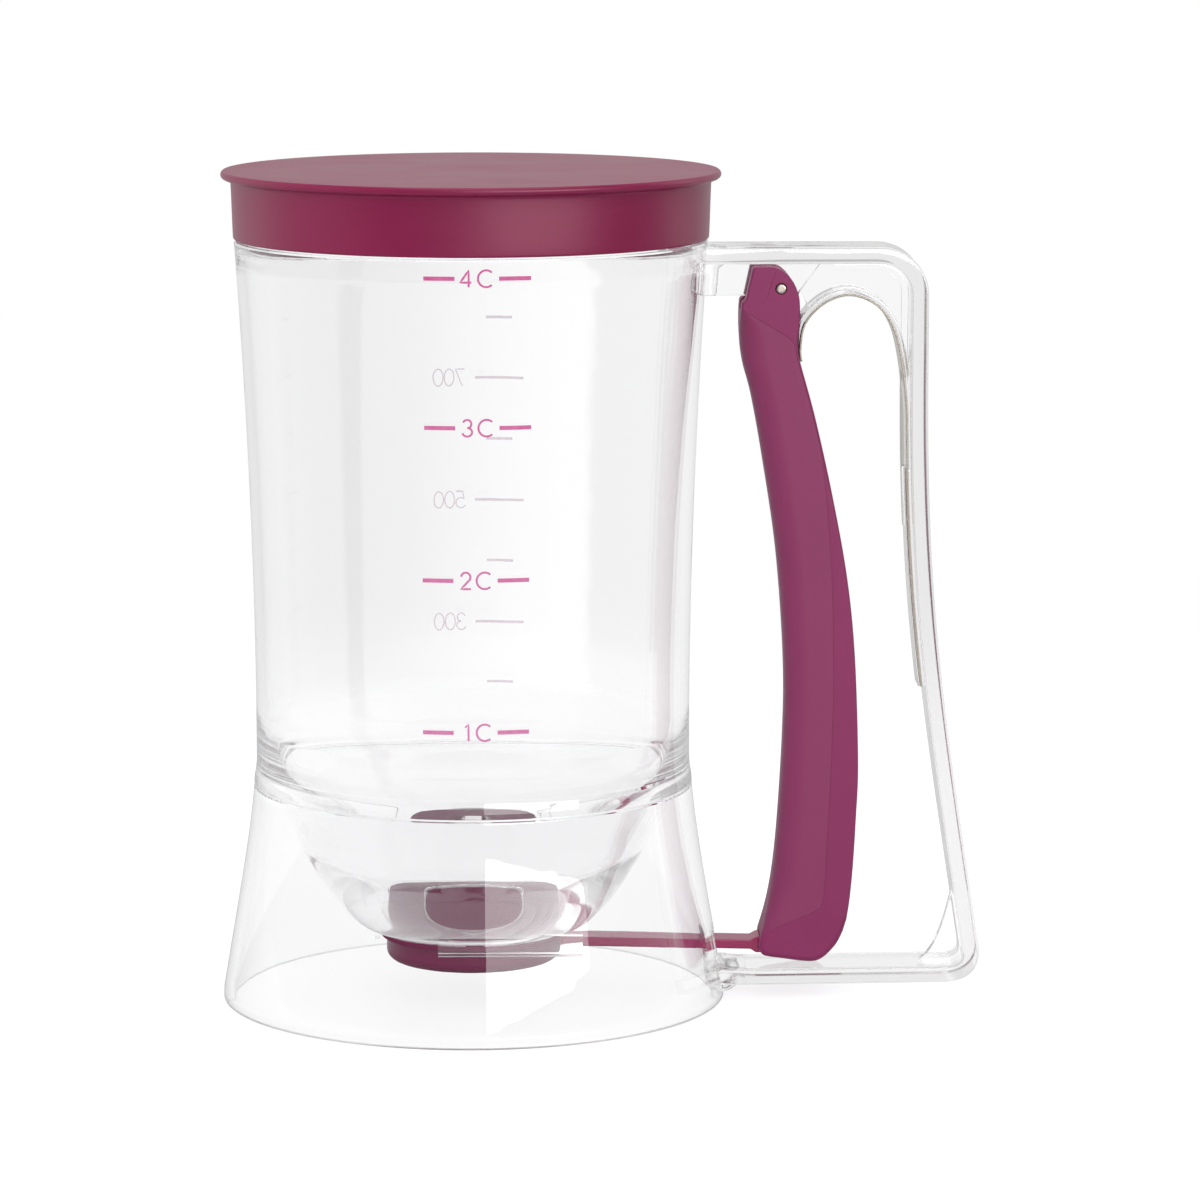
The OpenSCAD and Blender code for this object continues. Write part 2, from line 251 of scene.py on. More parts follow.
@contextmanager
def edited(piece: Piece) -> Iterator[bmesh.types.BMesh]:
    """Opens a piece's mesh for editing and writes it back.

    Args:
        piece: the object.

    Yields:
        The mesh to edit.
    """
    shape = bmesh.new()
    shape.from_mesh(piece.data)
    yield shape
    shape.to_mesh(piece.data)
    shape.free()


def outward(piece: Piece) -> Piece:
    """Turns the faces of a closed mesh outwards."""
    with edited(piece) as shape:
        bmesh.ops.recalc_face_normals(shape, faces=shape.faces)
    return piece


def baked(piece: Piece) -> bpy.types.Mesh:
    """The plain mesh that a piece's modifiers make.

    Args:
        piece: the object, whose modifiers are taken off.

    Returns:
        The mesh.
    """
    mesh = bpy.data.meshes.new_from_object(piece.evaluated_get(bpy.context.evaluated_depsgraph_get()))
    piece.modifiers.clear()
    return mesh


def turned(piece: Piece, axis: str, degrees: float, place: tuple = (0, 0, 0)) -> Piece:
    """Turns a mesh about one of the main axes and then moves it.

    Args:
        piece: the object.
        axis: X, Y or Z.
        degrees: how far it turns.
        place: where the origin goes.

    Returns:
        The object.
    """
    piece.data.transform(Matrix.Rotation(math.radians(degrees), 4, axis))
    piece.data.transform(Matrix.Translation(place))
    return piece


def lathe(name: str, profile: Line, segments: int) -> Piece:
    """A closed body of revolution about Z.

    Args:
        name: the object's name.
        profile: its closed outline as (radius, height) rows.
        segments: how many steps go round.

    Returns:
        The object.
    """
    if area(profile) < 0:
        profile = profile[::-1]
    rings: list[list[int]] = []
    vertices: list[tuple] = []
    turns = [2 * math.pi * k / segments for k in range(segments)]
    for r, z in profile:
        at_pole = r < 1e-6
        first = len(vertices)
        rings.append([first] * segments if at_pole else list(range(first, first + segments)))
        vertices += [(0.0, 0.0, z)] if at_pole else [(r * math.cos(a), r * math.sin(a), z) for a in turns]
    faces = []
    for ring, after in zip(rings, rings[1:] + rings[:1]):
        for i in range(segments):
            k = (i + 1) % segments
            face = list(dict.fromkeys([ring[i], ring[k], after[k], after[i]]))
            if len(face) > 2:
                faces.append(face)
    return make(name, vertices, faces)


def slab(name: str, outline: Line, width: float, edge: float | Line, middle: float = 0.0,
         steps: int = 4) -> Piece:
    """A closed plate in the XZ plane with rounded edges.

    Args:
        name: the object's name.
        outline: its closed outline as (x, z) rows.
        width: its thickness along Y.
        edge: the edges' radius, one for all or one for each corner.
        middle: the Y of its middle.
        steps: how many spans each rounding has.

    Returns:
        The object.
    """
    edge = np.broadcast_to(np.array(edge, float), len(outline)).copy()
    if area(outline) < 0:
        outline, edge = outline[::-1], edge[::-1]
    mitre = inward(outline)
    turns = np.radians(np.linspace(90, 0, steps + 1))
    layers = [(1, t) for t in turns] + [(-1, t) for t in turns[::-1]]
    n = len(outline)
    vertices = []
    for side, t in layers:
        flat = outline + mitre * (edge * (1 - math.cos(t)))[:, None]
        y = middle + side * (width / 2 - edge * (1 - math.sin(t)))
        vertices.append(np.stack([flat[:, 0], y, flat[:, 1]], 1))
    faces = [list(range(n - 1, -1, -1)), [(len(layers) - 1) * n + i for i in range(n)]]
    for low in range(0, (len(layers) - 1) * n, n):
        faces += [[low + i, low + (i + 1) % n, low + n + (i + 1) % n, low + n + i] for i in range(n)]
    piece = make(name, np.vstack(vertices), faces)
    with edited(piece) as shape:
        bmesh.ops.triangulate(shape, faces=[f for f in shape.faces if len(f.verts) > 4])
    return piece


def box(name: str, low: tuple, high: tuple) -> Piece:
    """A closed block between two corners, for cutting."""
    outline = np.array([[low[0], low[2]], [high[0], low[2]], [high[0], high[2]], [low[0], high[2]]], float)
    return slab(name, outline, high[1] - low[1], 0.0, (low[1] + high[1]) / 2, 1)


def rod(name: str, centre: tuple, radius: float, half: float, edge: float = 0.0) -> Piece:
    """A closed round bar along Y, for cutting and for small pins.

    Args:
        name: the object's name.
        centre: the X and Z of its middle.
        radius: its radius.
        half: how far it reaches to either side.
        edge: the radius of its ends' edges.

    Returns:
        The object.
    """
    return slab(name, arc(centre, radius, 0, 360, 48)[:-1], 2 * half, edge)


class Cut(Enum):
    """What a boolean does with the second body."""

    JOIN = "UNION"
    REMOVE = "DIFFERENCE"
    KEEP = "INTERSECT"


def combine(base: Piece, tools: list, how: Cut) -> Piece:
    """Joins, removes or keeps bodies of one another.

    Args:
        base: the body that is changed.
        tools: the other bodies, which are used up.
        how: what is done with them.

    Returns:
        The changed body.
    """
    for tool in tools:
        step = base.modifiers.new("combine", "BOOLEAN")
        step.operation = how.value
        step.solver = "MANIFOLD"
        step.object = tool
        solid = baked(base)
        if not solid.polygons:
            raise RuntimeError(f"{base.name} with {tool.name} came out empty")
        old, base.data = base.data, solid
        bpy.data.meshes.remove(old)
        bpy.data.objects.remove(tool)
    return base


def settle(piece: Piece, material: Material, sharp: float = 32.0,
           flat_from: float = -1000.0) -> Piece:
    """Finishes a mesh: merged, in metres, smooth but for its sharp edges, and dressed.

    Args:
        piece: the object, in millimetres.
        material: its finish.
        sharp: the angle in degrees from which an edge stays sharp.
        flat_from: the X from which large faces keep their own normals up to their rounded edges.

    Returns:
        The object.
    """
    with edited(piece) as shape:
        bmesh.ops.remove_doubles(shape, verts=shape.verts, dist=MERGE)
        bmesh.ops.dissolve_degenerate(shape, edges=shape.edges, dist=MERGE)
        for face in shape.faces:
            face.smooth = True
            face.material_index = 0
        for line in shape.edges:
            line.smooth = len(line.link_faces) == 2 and line.calc_face_angle(0.0) < math.radians(sharp)
    even = piece.vertex_groups.new(name="even")
    even.add([v.index for v in piece.data.vertices if v.co.x > flat_from], 1.0, "REPLACE")
    step = piece.modifiers.new("even normals", "WEIGHTED_NORMAL")
    step.keep_sharp, step.weight, step.vertex_group = True, 50, even.name
    piece.data.transform(Matrix.Scale(MM, 4))
    piece.data = baked(piece)
    piece.data.materials.clear()
    piece.data.materials.append(material)
    piece.data.update()
    return piece


def hand_over(piece: Piece, body: str, slot: str, *nodes: str) -> Piece:
    """Hides the nodes that a finished piece stands for and hangs the piece on its body.

    Args:
        piece: the object.
        body: the body that it rides on.
        slot: not used.
        *nodes: the nodes that it stands for.

    Returns:
        The object.
    """
    if nodes:
        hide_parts(*nodes)
    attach(piece, body)
    return piece


# ---------------------------------------------------------------- geometry nodes


class Course(Enum):
    """How a ramp gets from its first value to its last."""

    STRAIGHT = "LINEAR"
    EASED = "SMOOTHSTEP"


class Tree:
    """A small helper that adds and links nodes in one tree."""

    def __init__(self, tree: bpy.types.NodeTree) -> None:
        """Keeps the tree that nodes are added to."""
        self.tree = tree

    def fill(self, node: bpy.types.Node, inputs: dict) -> bpy.types.Node:
        """Sets a node's inputs.

        Args:
            node: the node.
            inputs: values or sockets for its inputs, by name or number.

        Returns:
            The node.
        """
        for key, value in inputs.items():
            if isinstance(value, Socket):
                self.tree.links.new(value, node.inputs[key])
            else:
                node.inputs[key].default_value = value
        return node

    def add(self, kind: str, inputs: dict | None = None, **settings: object) -> bpy.types.Node:
        """Adds a node.

        Args:
            kind: the node's type.
            inputs: values or sockets for its inputs, by name or number.
            **settings: its properties.

        Returns:
            The node.
        """
        node = self.tree.nodes.new(kind)
        for key, value in settings.items():
            setattr(node, key, value)
        return self.fill(node, inputs or {})

    def out(self, kind: str, inputs: dict | None = None, output: int | str = 0,
            **settings: object) -> Socket:
        """Adds a node as add() does, and gives one of its outputs."""
        return self.add(kind, inputs, **settings).outputs[output]

    def math(self, what: str, *values: object) -> Socket:
        """The result of a Math node on the given values or sockets."""
        return self.out("ShaderNodeMath", dict(enumerate(values)), operation=what)

    def total(self, one: object, other: object) -> Socket:
        """The sum of two values, kept from 0 to 1."""
        return self.out("ShaderNodeMath", {0: one, 1: other}, operation="ADD", use_clamp=True)

    def place(self) -> Socket:
        """The place on the object."""
        return self.out("ShaderNodeTexCoord", output="Object")

    def axis(self, vector: Socket, number: int) -> Socket:
        """One part of a vector, with 0 for X, 1 for Y and 2 for Z."""
        return self.out("ShaderNodeSeparateXYZ", {0: vector}, number)

    def noise(self, where: Socket, scale: object, detail: float = 2.0) -> Socket:
        """The value of a noise pattern."""
        return self.out("ShaderNodeTexNoise", {"Vector": where, "Scale": scale, "Detail": detail})

    def stretched(self, where: Socket, scale: tuple) -> Socket:
        """A noise pattern with a scale of its own along each axis."""
        return self.noise(self.out("ShaderNodeMapping", {"Vector": where, "Scale": scale}), 1.0)

    def mix(self, share: object, first: object, last: object) -> Socket:
        """A colour between two others."""
        return self.out("ShaderNodeMix", {0: share, 6: first, 7: last}, 2, data_type="RGBA")

    def between(self, share: object, first: object, last: object) -> Socket:
        """A number between two others."""
        return self.out("ShaderNodeMix", {0: share, 2: first, 3: last})

    def blended(self, share: object, first: object, last: object) -> Socket:
        """A shader between two others."""
        return self.out("ShaderNodeMixShader", {0: share, 1: first, 2: last})

    def ramp(self, value: Socket, low: float, high: float, first: float = 0.0,
             last: float = 1.0, course: Course = Course.EASED) -> Socket:
        """A change from first to last as the value goes from low to high."""
        return self.out("ShaderNodeMapRange", {
            "Value": value, "From Min": low, "From Max": high, "To Min": first, "To Max": last},
            interpolation_type=course.value)

    def bump(self, height: object, strength: float, distance: float) -> Socket:
        """A normal that follows a height."""
        return self.out("ShaderNodeBump", {"Height": height, "Strength": strength, "Distance": distance})


@dataclass
class NodeShape:
    """A geometry tree with named inputs, which makes one plain mesh of an object."""

    tree: bpy.types.NodeTree

    def apply(self, piece: Piece, values: dict) -> Piece:
        """Runs the tree on an object and keeps the result as its mesh.

        Args:
            piece: the object that the tree runs on.
            values: the inputs' values by name.

        Returns:
            The object, its faces outwards.
        """
        step = piece.modifiers.new(self.tree.name, "NODES")
        step.node_group = self.tree
        for item in self.tree.interface.items_tree:
            if item.in_out == "INPUT" and item.name in values:
                step[item.identifier] = values[item.name]
        piece.data = baked(piece)
        return outward(piece)


def new_shape_tree(name: str, numbers: tuple, counts: tuple = ()) -> tuple[bpy.types.NodeTree, Tree, object]:
    """Starts a geometry tree.

    Args:
        name: the tree's name.
        numbers: the names of its inputs that are sizes.
        counts: the names of its inputs that are whole numbers.

    Returns:
        The tree, its helper and its input node's outputs.
    """
    tree = bpy.data.node_groups.new(name, "GeometryNodeTree")
    for way, kind, keys in (("INPUT", "Geometry", ("Geometry",)), ("INPUT", "Float", numbers),
                            ("INPUT", "Int", counts), ("INPUT", "Material", ("Material",)),
                            ("OUTPUT", "Geometry", ("Geometry",))):
        add_sockets(tree, way, kind, keys)
    helper = Tree(tree)
    return tree, helper, helper.add("NodeGroupInput").outputs


def add_sockets(tree: bpy.types.NodeTree, way: str, kind: str, keys: tuple) -> None:
    """Gives a node group named inputs or outputs of one kind."""
    for key in keys:
        tree.interface.new_socket(key, in_out=way, socket_type=f"NodeSocket{kind}")


def swept(node: Tree, line: Socket, section: Socket) -> Socket:
    """A section that is swept along a line in the XZ plane.

    Args:
        node: the tree's helper.
        line: the mesh of the line.
        section: the curve of the section.

    Returns:
        The swept mesh.
    """
    path = node.out("GeometryNodeMeshToCurve", {"Mesh": line})
    path = node.out("GeometryNodeSetCurveNormal", {"Curve": path, "Normal": (0, 1, 0)}, mode="FREE")
    return node.out("GeometryNodeCurveToMesh", {"Curve": path, "Profile Curve": section, "Fill Caps": True})


def end_shape_tree(node: Tree, geometry: Socket, material: Socket) -> None:
    """Ends a geometry tree in Realize Instances and Set Material.

    Args:
        node: the tree's helper.
        geometry: what the tree has made.
        material: the finish.
    """
    real = node.out("GeometryNodeRealizeInstances", {0: geometry})
    dressed = node.out("GeometryNodeSetMaterial", {"Geometry": real, "Material": material})
    node.add("NodeGroupOutput", {0: dressed})


def swept_bar() -> NodeShape:
    """The tree for a flat bar with rounded corners that follows a line in the XZ plane.

    Returns:
        The tree, ready to run.
    """
    tree, node, given = new_shape_tree("swept bar", ("Thickness", "Width", "Corner Radius"),
                                       ("Corner Points",))
    section = node.out("GeometryNodeCurvePrimitiveQuadrilateral", {
        "Width": given["Width"], "Height": given["Thickness"]})
    section = node.out("GeometryNodeFilletCurve", {
        "Curve": section, "Count": given["Corner Points"], "Radius": given["Corner Radius"]}, mode="POLY")
    end_shape_tree(node, swept(node, given["Geometry"], section), given["Material"])
    return NodeShape(tree)


def chain(count: int) -> list:
    """The edges that join points in a row."""
    return [(i, i + 1) for i in range(count - 1)]


def bar_along(shape: NodeShape, name: str, line: Line, thickness: float, width: float,
              corner: float, points: int) -> Piece:
    """A flat bar that follows a line in the XZ plane.

    Args:
        shape: the swept bar tree.
        name: the object's name.
        line: the middle line as (x, z) rows.
        thickness: its size across the line.
        width: its size along Y.
        corner: the radius of its long edges.
        points: how many points each rounding has.

    Returns:
        The object.
    """
    piece = make(name, [(x, 0.0, z) for x, z in line], [], chain(len(line)))
    return shape.apply(piece, {"Thickness": thickness, "Width": width, "Corner Radius": corner,
                               "Corner Points": points})


# ---------------------------------------------------------------- finishes


def srgb(red: int, green: int, blue: int) -> tuple:
    """A display colour from 0 to 255 as the linear colour that a shader takes."""
    shares = [value / 255 for value in (red, green, blue)]
    return (*(s / 12.92 if s <= 0.04045 else ((s + 0.055) / 1.055) ** 2.4 for s in shares), 1.0)


def new_material(name: str) -> tuple[Material, Tree, bpy.types.Node, bpy.types.Node]:
    """Starts a material.

    Args:
        name: the material's name.

    Returns:
        The material, its helper, its Principled node and its output node.
    """
    material = bpy.data.materials.new(name)
    material.use_nodes = True
    material.node_tree.nodes.clear()
    helper = Tree(material.node_tree)
    surface = helper.add("ShaderNodeBsdfPrincipled")
    output = helper.add("ShaderNodeOutputMaterial", {"Surface": surface.outputs[0]})
    return material, helper, surface, output


def grain_group() -> bpy.types.NodeTree:
    """The shared group for moulded plastic: slow tone changes, fine grain and fine flow lines.

    Returns:
        The shader node group, with Colour, Roughness and Height outputs.
    """
    group = bpy.data.node_groups.new("moulded grain", "ShaderNodeTree")
    for way, kind, keys in (("INPUT", "Vector", ("Vector",)), ("INPUT", "Color", ("Light", "Dark")),
                            ("INPUT", "Float", ("Grain Size", "Rough", "Rough Spread", "Streak")),
                            ("OUTPUT", "Color", ("Colour",)), ("OUTPUT", "Float", ("Roughness", "Height"))):
        add_sockets(group, way, kind, keys)
    node = Tree(group)
    given = node.add("NodeGroupInput").outputs
    patches, flow_lines = 45.0, (60.0, 60.0, 2600.0)
    slow = node.math("SUBTRACT", node.noise(given["Vector"], patches, 3.0), 0.5)
    fine = node.noise(given["Vector"], given["Grain Size"])
    flow = node.math("SUBTRACT", node.stretched(given["Vector"], flow_lines), 0.5)
    streak = node.math("MULTIPLY", flow, given["Streak"])
    tone = node.math("ADD", node.math("MULTIPLY_ADD", slow, 0.9, 0.5),
                     node.math("MULTIPLY", node.math("SUBTRACT", fine, 0.5), 0.5))
    tone = node.total(tone, streak)
    rough = node.math("MULTIPLY_ADD", node.math("SUBTRACT", tone, 0.5), given["Rough Spread"], given["Rough"])
    node.add("NodeGroupOutput", {"Colour": node.mix(tone, given["Dark"], given["Light"]), "Roughness": rough,
                                 "Height": node.math("ADD", fine, node.math("MULTIPLY", streak, 0.6))})
    return group


@dataclass(frozen=True)
class SatinPlastic:
    """A solid moulded plastic with a satin skin."""

    name: str
    light: tuple
    dark: tuple
    rough: float
    grain_size: float
    bump: float
    level: float
    streak: float = 0.0
    sheen: float = 0.0
    rough_spread: float = 0.1
    grain_depth: float = 0.0004

    def build(self, grain: bpy.types.NodeTree) -> Material:
        """Makes the material.

        Args:
            grain: the shared grain group.

        Returns:
            The material.
        """
        material, node, surface, _ = new_material(self.name)
        skin = node.add("ShaderNodeGroup", {
            "Vector": node.place(), "Light": srgb(*self.light), "Dark": srgb(*self.dark),
            "Grain Size": self.grain_size, "Rough": self.rough, "Rough Spread": self.rough_spread,
            "Streak": self.streak}, node_tree=grain).outputs
        node.fill(surface, {
            "Base Color": skin["Colour"], "Roughness": skin["Roughness"], "Specular IOR Level": self.level,
            "Sheen Weight": self.sheen, "Normal": node.bump(skin["Height"], self.bump, self.grain_depth)})
        return material


@dataclass(frozen=True)
class ClearPlastic:
    """Clear moulded plastic that bends what is behind it, and lets the lamps through."""

    name: str = "clear plastic"
    tint: tuple = (0.992, 0.992, 0.995, 1.0)
    shade: tuple = (0.93, 0.93, 0.945, 1.0)
    index: float = 1.49
    haze: float = 0.012
    polish: float = 0.004
    foot_matt: float = 0.45
    foot_heights: tuple = (0.0007, 0.0002)
    flow_scale: float = 70.0
    ripple: tuple = (0.05, 0.0006)

    def build(self) -> Material:
        """Makes the material, with a matt edge where the moulding stands on its foot.

        Returns:
            The material.
        """
        material, node, surface, output = new_material(self.name)
        where = node.place()
        flow = node.noise(where, self.flow_scale)
        ground = node.ramp(node.axis(where, 2), *self.foot_heights, self.polish, self.foot_matt,
                           Course.STRAIGHT)
        node.fill(surface, {
            "Base Color": self.tint, "IOR": self.index, "Transmission Weight": 1.0,
            "Roughness": node.math("MULTIPLY_ADD", flow, self.haze, ground),
            "Normal": node.bump(flow, *self.ripple)})
        path = node.add("ShaderNodeLightPath").outputs
        open_to = node.math("MAXIMUM", path["Is Shadow Ray"], path["Is Diffuse Ray"])
        through = node.out("ShaderNodeBsdfTransparent", {"Color": self.shade})
        node.fill(output, {"Surface": node.blended(open_to, surface.outputs[0], through)})
        return material


@dataclass(frozen=True)
class BrightSteel:
    """Polished steel with fine rolling lines, and a darker broken edge where it was sheared."""

    name: str
    colour: tuple
    rough: float
    sheared: bool = False
    rolling: tuple = (900.0, 5200.0, 250.0)
    line_depth: float = 0.0002
    rough_spread: float = 0.14
    burr_dark: tuple = (128, 116, 104)
    burr_light: tuple = (204, 196, 182)
    burr_rough: float = 0.55

    def build(self) -> Material:
        """Makes the material.

        Returns:
            The material.
        """
        material, node, surface, _ = new_material(self.name)
        coords = node.add("ShaderNodeTexCoord").outputs
        lines = node.stretched(coords["Object"], self.rolling)
        bright = srgb(*self.colour)
        colour = node.mix(lines, tuple(0.86 * c for c in bright[:3]) + (1.0,), bright)
        rough, metal = node.math("MULTIPLY_ADD", lines, self.rough_spread, self.rough), 1.0
        if self.sheared:
            side = node.math("ABSOLUTE", node.axis(coords["Normal"], 1))
            mask = node.math("GREATER_THAN", side, 0.6)
            spots = node.ramp(node.noise(coords["Object"], 4200.0, 3.0), 0.3, 0.65, course=Course.STRAIGHT)
            burr = node.mix(spots, srgb(*self.burr_dark), srgb(*self.burr_light))
            colour = node.mix(mask, colour, burr)
            rough = node.between(mask, rough, self.burr_rough)
            metal = node.ramp(mask, 0.0, 1.0, 1.0, 0.6, Course.STRAIGHT)
        node.fill(surface, {"Base Color": colour, "Roughness": rough, "Metallic": metal,
                            "Normal": node.bump(lines, 0.05, self.line_depth)})
        return material


@dataclass(frozen=True)
class PrintedInk:
    """Screen-printed ink, a little worn and paler towards the bottom."""

    name: str
    colour: tuple
    pale: tuple
    cover: float = 1.0
    wear: float = 0.3
    heights: tuple = (0.170, 0.066)

    def build(self) -> Material:
        """Makes the material.

        Returns:
            The material.
        """
        material, node, surface, _ = new_material(self.name)
        where = node.place()
        worn = node.ramp(node.noise(where, 900.0, 3.0), 0.35, 0.7, course=Course.STRAIGHT)
        low = node.ramp(node.axis(where, 2), *self.heights, 0.0, 0.55, Course.STRAIGHT)
        share = node.total(node.math("MULTIPLY", worn, self.wear), low)
        node.fill(surface, {"Base Color": node.mix(share, srgb(*self.colour), srgb(*self.pale)),
                            "Roughness": 0.45, "Specular IOR Level": 0.3, "Alpha": self.cover})
        return material


@dataclass
class Finishes:
    """Every finish of the dispenser, built once."""

    grain: bpy.types.NodeTree = field(default_factory=grain_group)

    def __post_init__(self) -> None:
        """Builds the materials."""
        self.clear = ClearPlastic().build()
        self.frame = ClearPlastic("clear frame plastic", (0.875, 0.87, 0.872, 1.0)).build()
        self.lid = SatinPlastic("lid plastic", (138, 22, 74), (128, 16, 65), rough=0.34, grain_size=2600.0,
                                bump=0.03, level=0.42, streak=0.7).build(self.grain)
        self.lever = SatinPlastic("trigger plastic", (149, 55, 104), (139, 47, 94), rough=0.44,
                                  grain_size=3000.0, bump=0.04, level=0.16, sheen=0.08).build(self.grain)
        self.grip = SatinPlastic("grip plastic", (149, 60, 104), (140, 54, 97), rough=0.5, grain_size=3200.0,
                                 bump=0.05, level=0.2, sheen=0.14).build(self.grain)
        self.valve = SatinPlastic("valve plastic", (126, 22, 76), (112, 16, 66), rough=0.34,
                                  grain_size=2200.0, bump=0.04, level=0.2, streak=0.2).build(self.grain)
        self.arm = SatinPlastic("arm plastic", (166, 26, 92), (154, 20, 82), rough=0.24, grain_size=2200.0,
                                bump=0.04, level=0.7, streak=0.2).build(self.grain)
        self.seal = SatinPlastic("seal rubber", (126, 22, 76), (110, 16, 64), rough=0.7, grain_size=2400.0,
                                 bump=0.06, level=0.0).build(self.grain)
        self.spring = BrightSteel("spring steel", (212, 208, 200), 0.14, sheared=True).build()
        self.pin = BrightSteel("pin steel", (190, 182, 172), 0.3).build()
        self.cup_ink = PrintedInk("cup scale ink", (209, 88, 150), (226, 146, 190)).build()
        self.ml_ink = PrintedInk("millilitre scale ink", (218, 150, 190), (222, 160, 196), cover=0.24).build()


# ---------------------------------------------------------------- clear pitcher


@dataclass
class PitcherBody:
    """The clear moulding: container, stand and slide rails, with the D-shaped handle."""

    rim_z: float = 184.6
    shoulder_r: float = 52.65
    shoulder_z: float = 171.2
    waist_r: float = 48.7
    waist_z: float = 66.0
    foot_r: float = 56.75
    seam_z: float = 49.0
    seam_r: float = 49.3
    kink_z: float = 54.5
    wall: float = 2.2
    flare: float = 1.785
    outlet_r: float = 11.65
    plate_z: float = 15.4
    rim_r: float = 51.0
    rim_t: float = 1.8
    cap_r: float = 19.7
    lip_top: float = 13.7
    segments: int = 256

    def radius(self, z: float | Line) -> float | Line:
        """The wall's outer radius at a height above the seam."""
        share = np.clip((z - self.waist_z) / (self.shoulder_z - self.waist_z), 0, None)
        return self.waist_r + (self.shoulder_r - self.waist_r) * share**self.flare

    def bowl_outer(self) -> Line:
        """The bowl's underside, from the seam to the outlet plate."""
        return bezier((46.5, 49.0), (40.77, 40.0), (32.67, 18.93), (23.4, 15.95), 40)

    def bowl_inner(self) -> Line:
        """The bowl's inside, from the wall to the flat floor round the outlet."""
        return smooth([(self.waist_r - self.wall, 62.0), (45.85, 57.0), (44.9, 52.5), (43.66, 49.0),
                       (42.05, 46.0), (40.47, 43.0), (38.41, 39.0), (35.98, 34.0), (31.18, 28.0),
                       (25.93, 22.0), (20.97, 17.36)], 5)

    def skirt_outer(self) -> Line:
        """The stand's outer face, from the seam to the foot."""
        return bezier((49.3, 49.0), (50.4, 36.0), (53.7, 19.6), (56.75, 1.0), 40)

    def profile(self) -> Line:
        """The closed outline of the container and its stand.

        Returns:
            The outline as (radius, height) rows.
        """
        w = self.wall
        bowl, bowl_in, skirt = self.bowl_outer(), self.bowl_inner(), self.skirt_outer()
        skirt_in = np.stack([skirt[:, 0] - w, skirt[:, 1]], 1)
        skirt_in = skirt_in[(skirt_in[:, 1] > 1.1) & (skirt_in[:, 1] < self.seam_z - 0.4)]
        z = np.linspace(self.waist_z, self.shoulder_z, 44)
        flare = np.stack([self.radius(z), z], 1)
        inner = flare[flare[:, 1] < self.shoulder_z - 3.0] - (w, 0.0)
        rim = [(self.shoulder_r - 0.25, self.shoulder_z - 0.1), (self.shoulder_r - 0.5, self.shoulder_z),
               (self.rim_r + 0.3, self.shoulder_z), (self.rim_r, self.shoulder_z + 0.3)]
        top = np.vstack([arc((self.rim_r - 0.6, self.rim_z - 0.6), 0.6, 0, 90, 6),
                         arc((self.rim_r - self.rim_t + 0.6, self.rim_z - 0.6), 0.6, 90, 180, 6)])
        flare[-1] = (self.shoulder_r, self.shoulder_z - 0.45)
        seam = [(self.seam_r, self.seam_z - 0.35), (self.seam_r - 0.22, self.seam_z - 0.1),
                (self.seam_r - 0.22, self.seam_z + 0.1), (self.seam_r, self.seam_z + 0.35)]
        foot = self.foot_r - 0.15
        return chained(
            [(self.outlet_r + 0.3, self.plate_z), (21.4, self.plate_z), (22.5, 15.52)], bowl[::-1][:-1],
            [(46.5, self.seam_z), (47.1, self.seam_z)], skirt_in,
            arc((foot - w + 0.35, 0.4), 0.4, 185, 270, 4), arc((foot - 0.4, 0.4), 0.4, -90, 0, 4),
            skirt[::-1][1:-1], seam,
            bezier((self.seam_r, self.seam_z + 0.5), (self.seam_r - 0.1, self.seam_z + 2.6),
                   (self.waist_r, self.kink_z - 2.2), (self.waist_r, self.kink_z + 1.2), 10),
            flare, rim, top, [(self.rim_r - self.rim_t, self.shoulder_z)], inner[::-1], bowl_in,
            [(self.outlet_r + 0.35, bowl_in[-1][1]), (self.outlet_r, bowl_in[-1][1] - 0.35),
             (self.outlet_r, self.plate_z + 0.3)])

    def slot_cutter(self) -> Piece:
        """The block that opens the stand for the valve's arm."""
        outline = softened(np.array([[-5.0, 6.8], [5.0, 6.8], [5.0, 15.0], [-5.0, 15.0]]), 2.0, 6)
        return turned(slab("slot", outline, 16.0, 0.0, 0.0, 1), "Z", 90, (self.foot_r - 1.0, 0, 0))

    def rails(self) -> list:
        """The slide rails and the end stop under the outlet plate.

        Returns:
            Closed objects that reach into the bowl's wall.
        """
        lip_in, rail_in, top = self.cap_r + 0.3, self.cap_r + 1.5, self.lip_top
        rail_out, low = rail_in + 1.2, top - 0.7
        section = softened(np.array([[lip_in, low], [rail_out, low], [rail_out, 18.0], [rail_in, 18.0],
                                     [rail_in, top], [lip_in, top]]), 0.33, 4)
        made = [turned(slab("rail", section * (side, 1), 32.0, 0.0, -8.0, 1), "Z", 90) for side in (-1, 1)]
        return made + [box("stop", (-rail_out, -2.5, low), (-rail_in, 2.5, 17.0))]


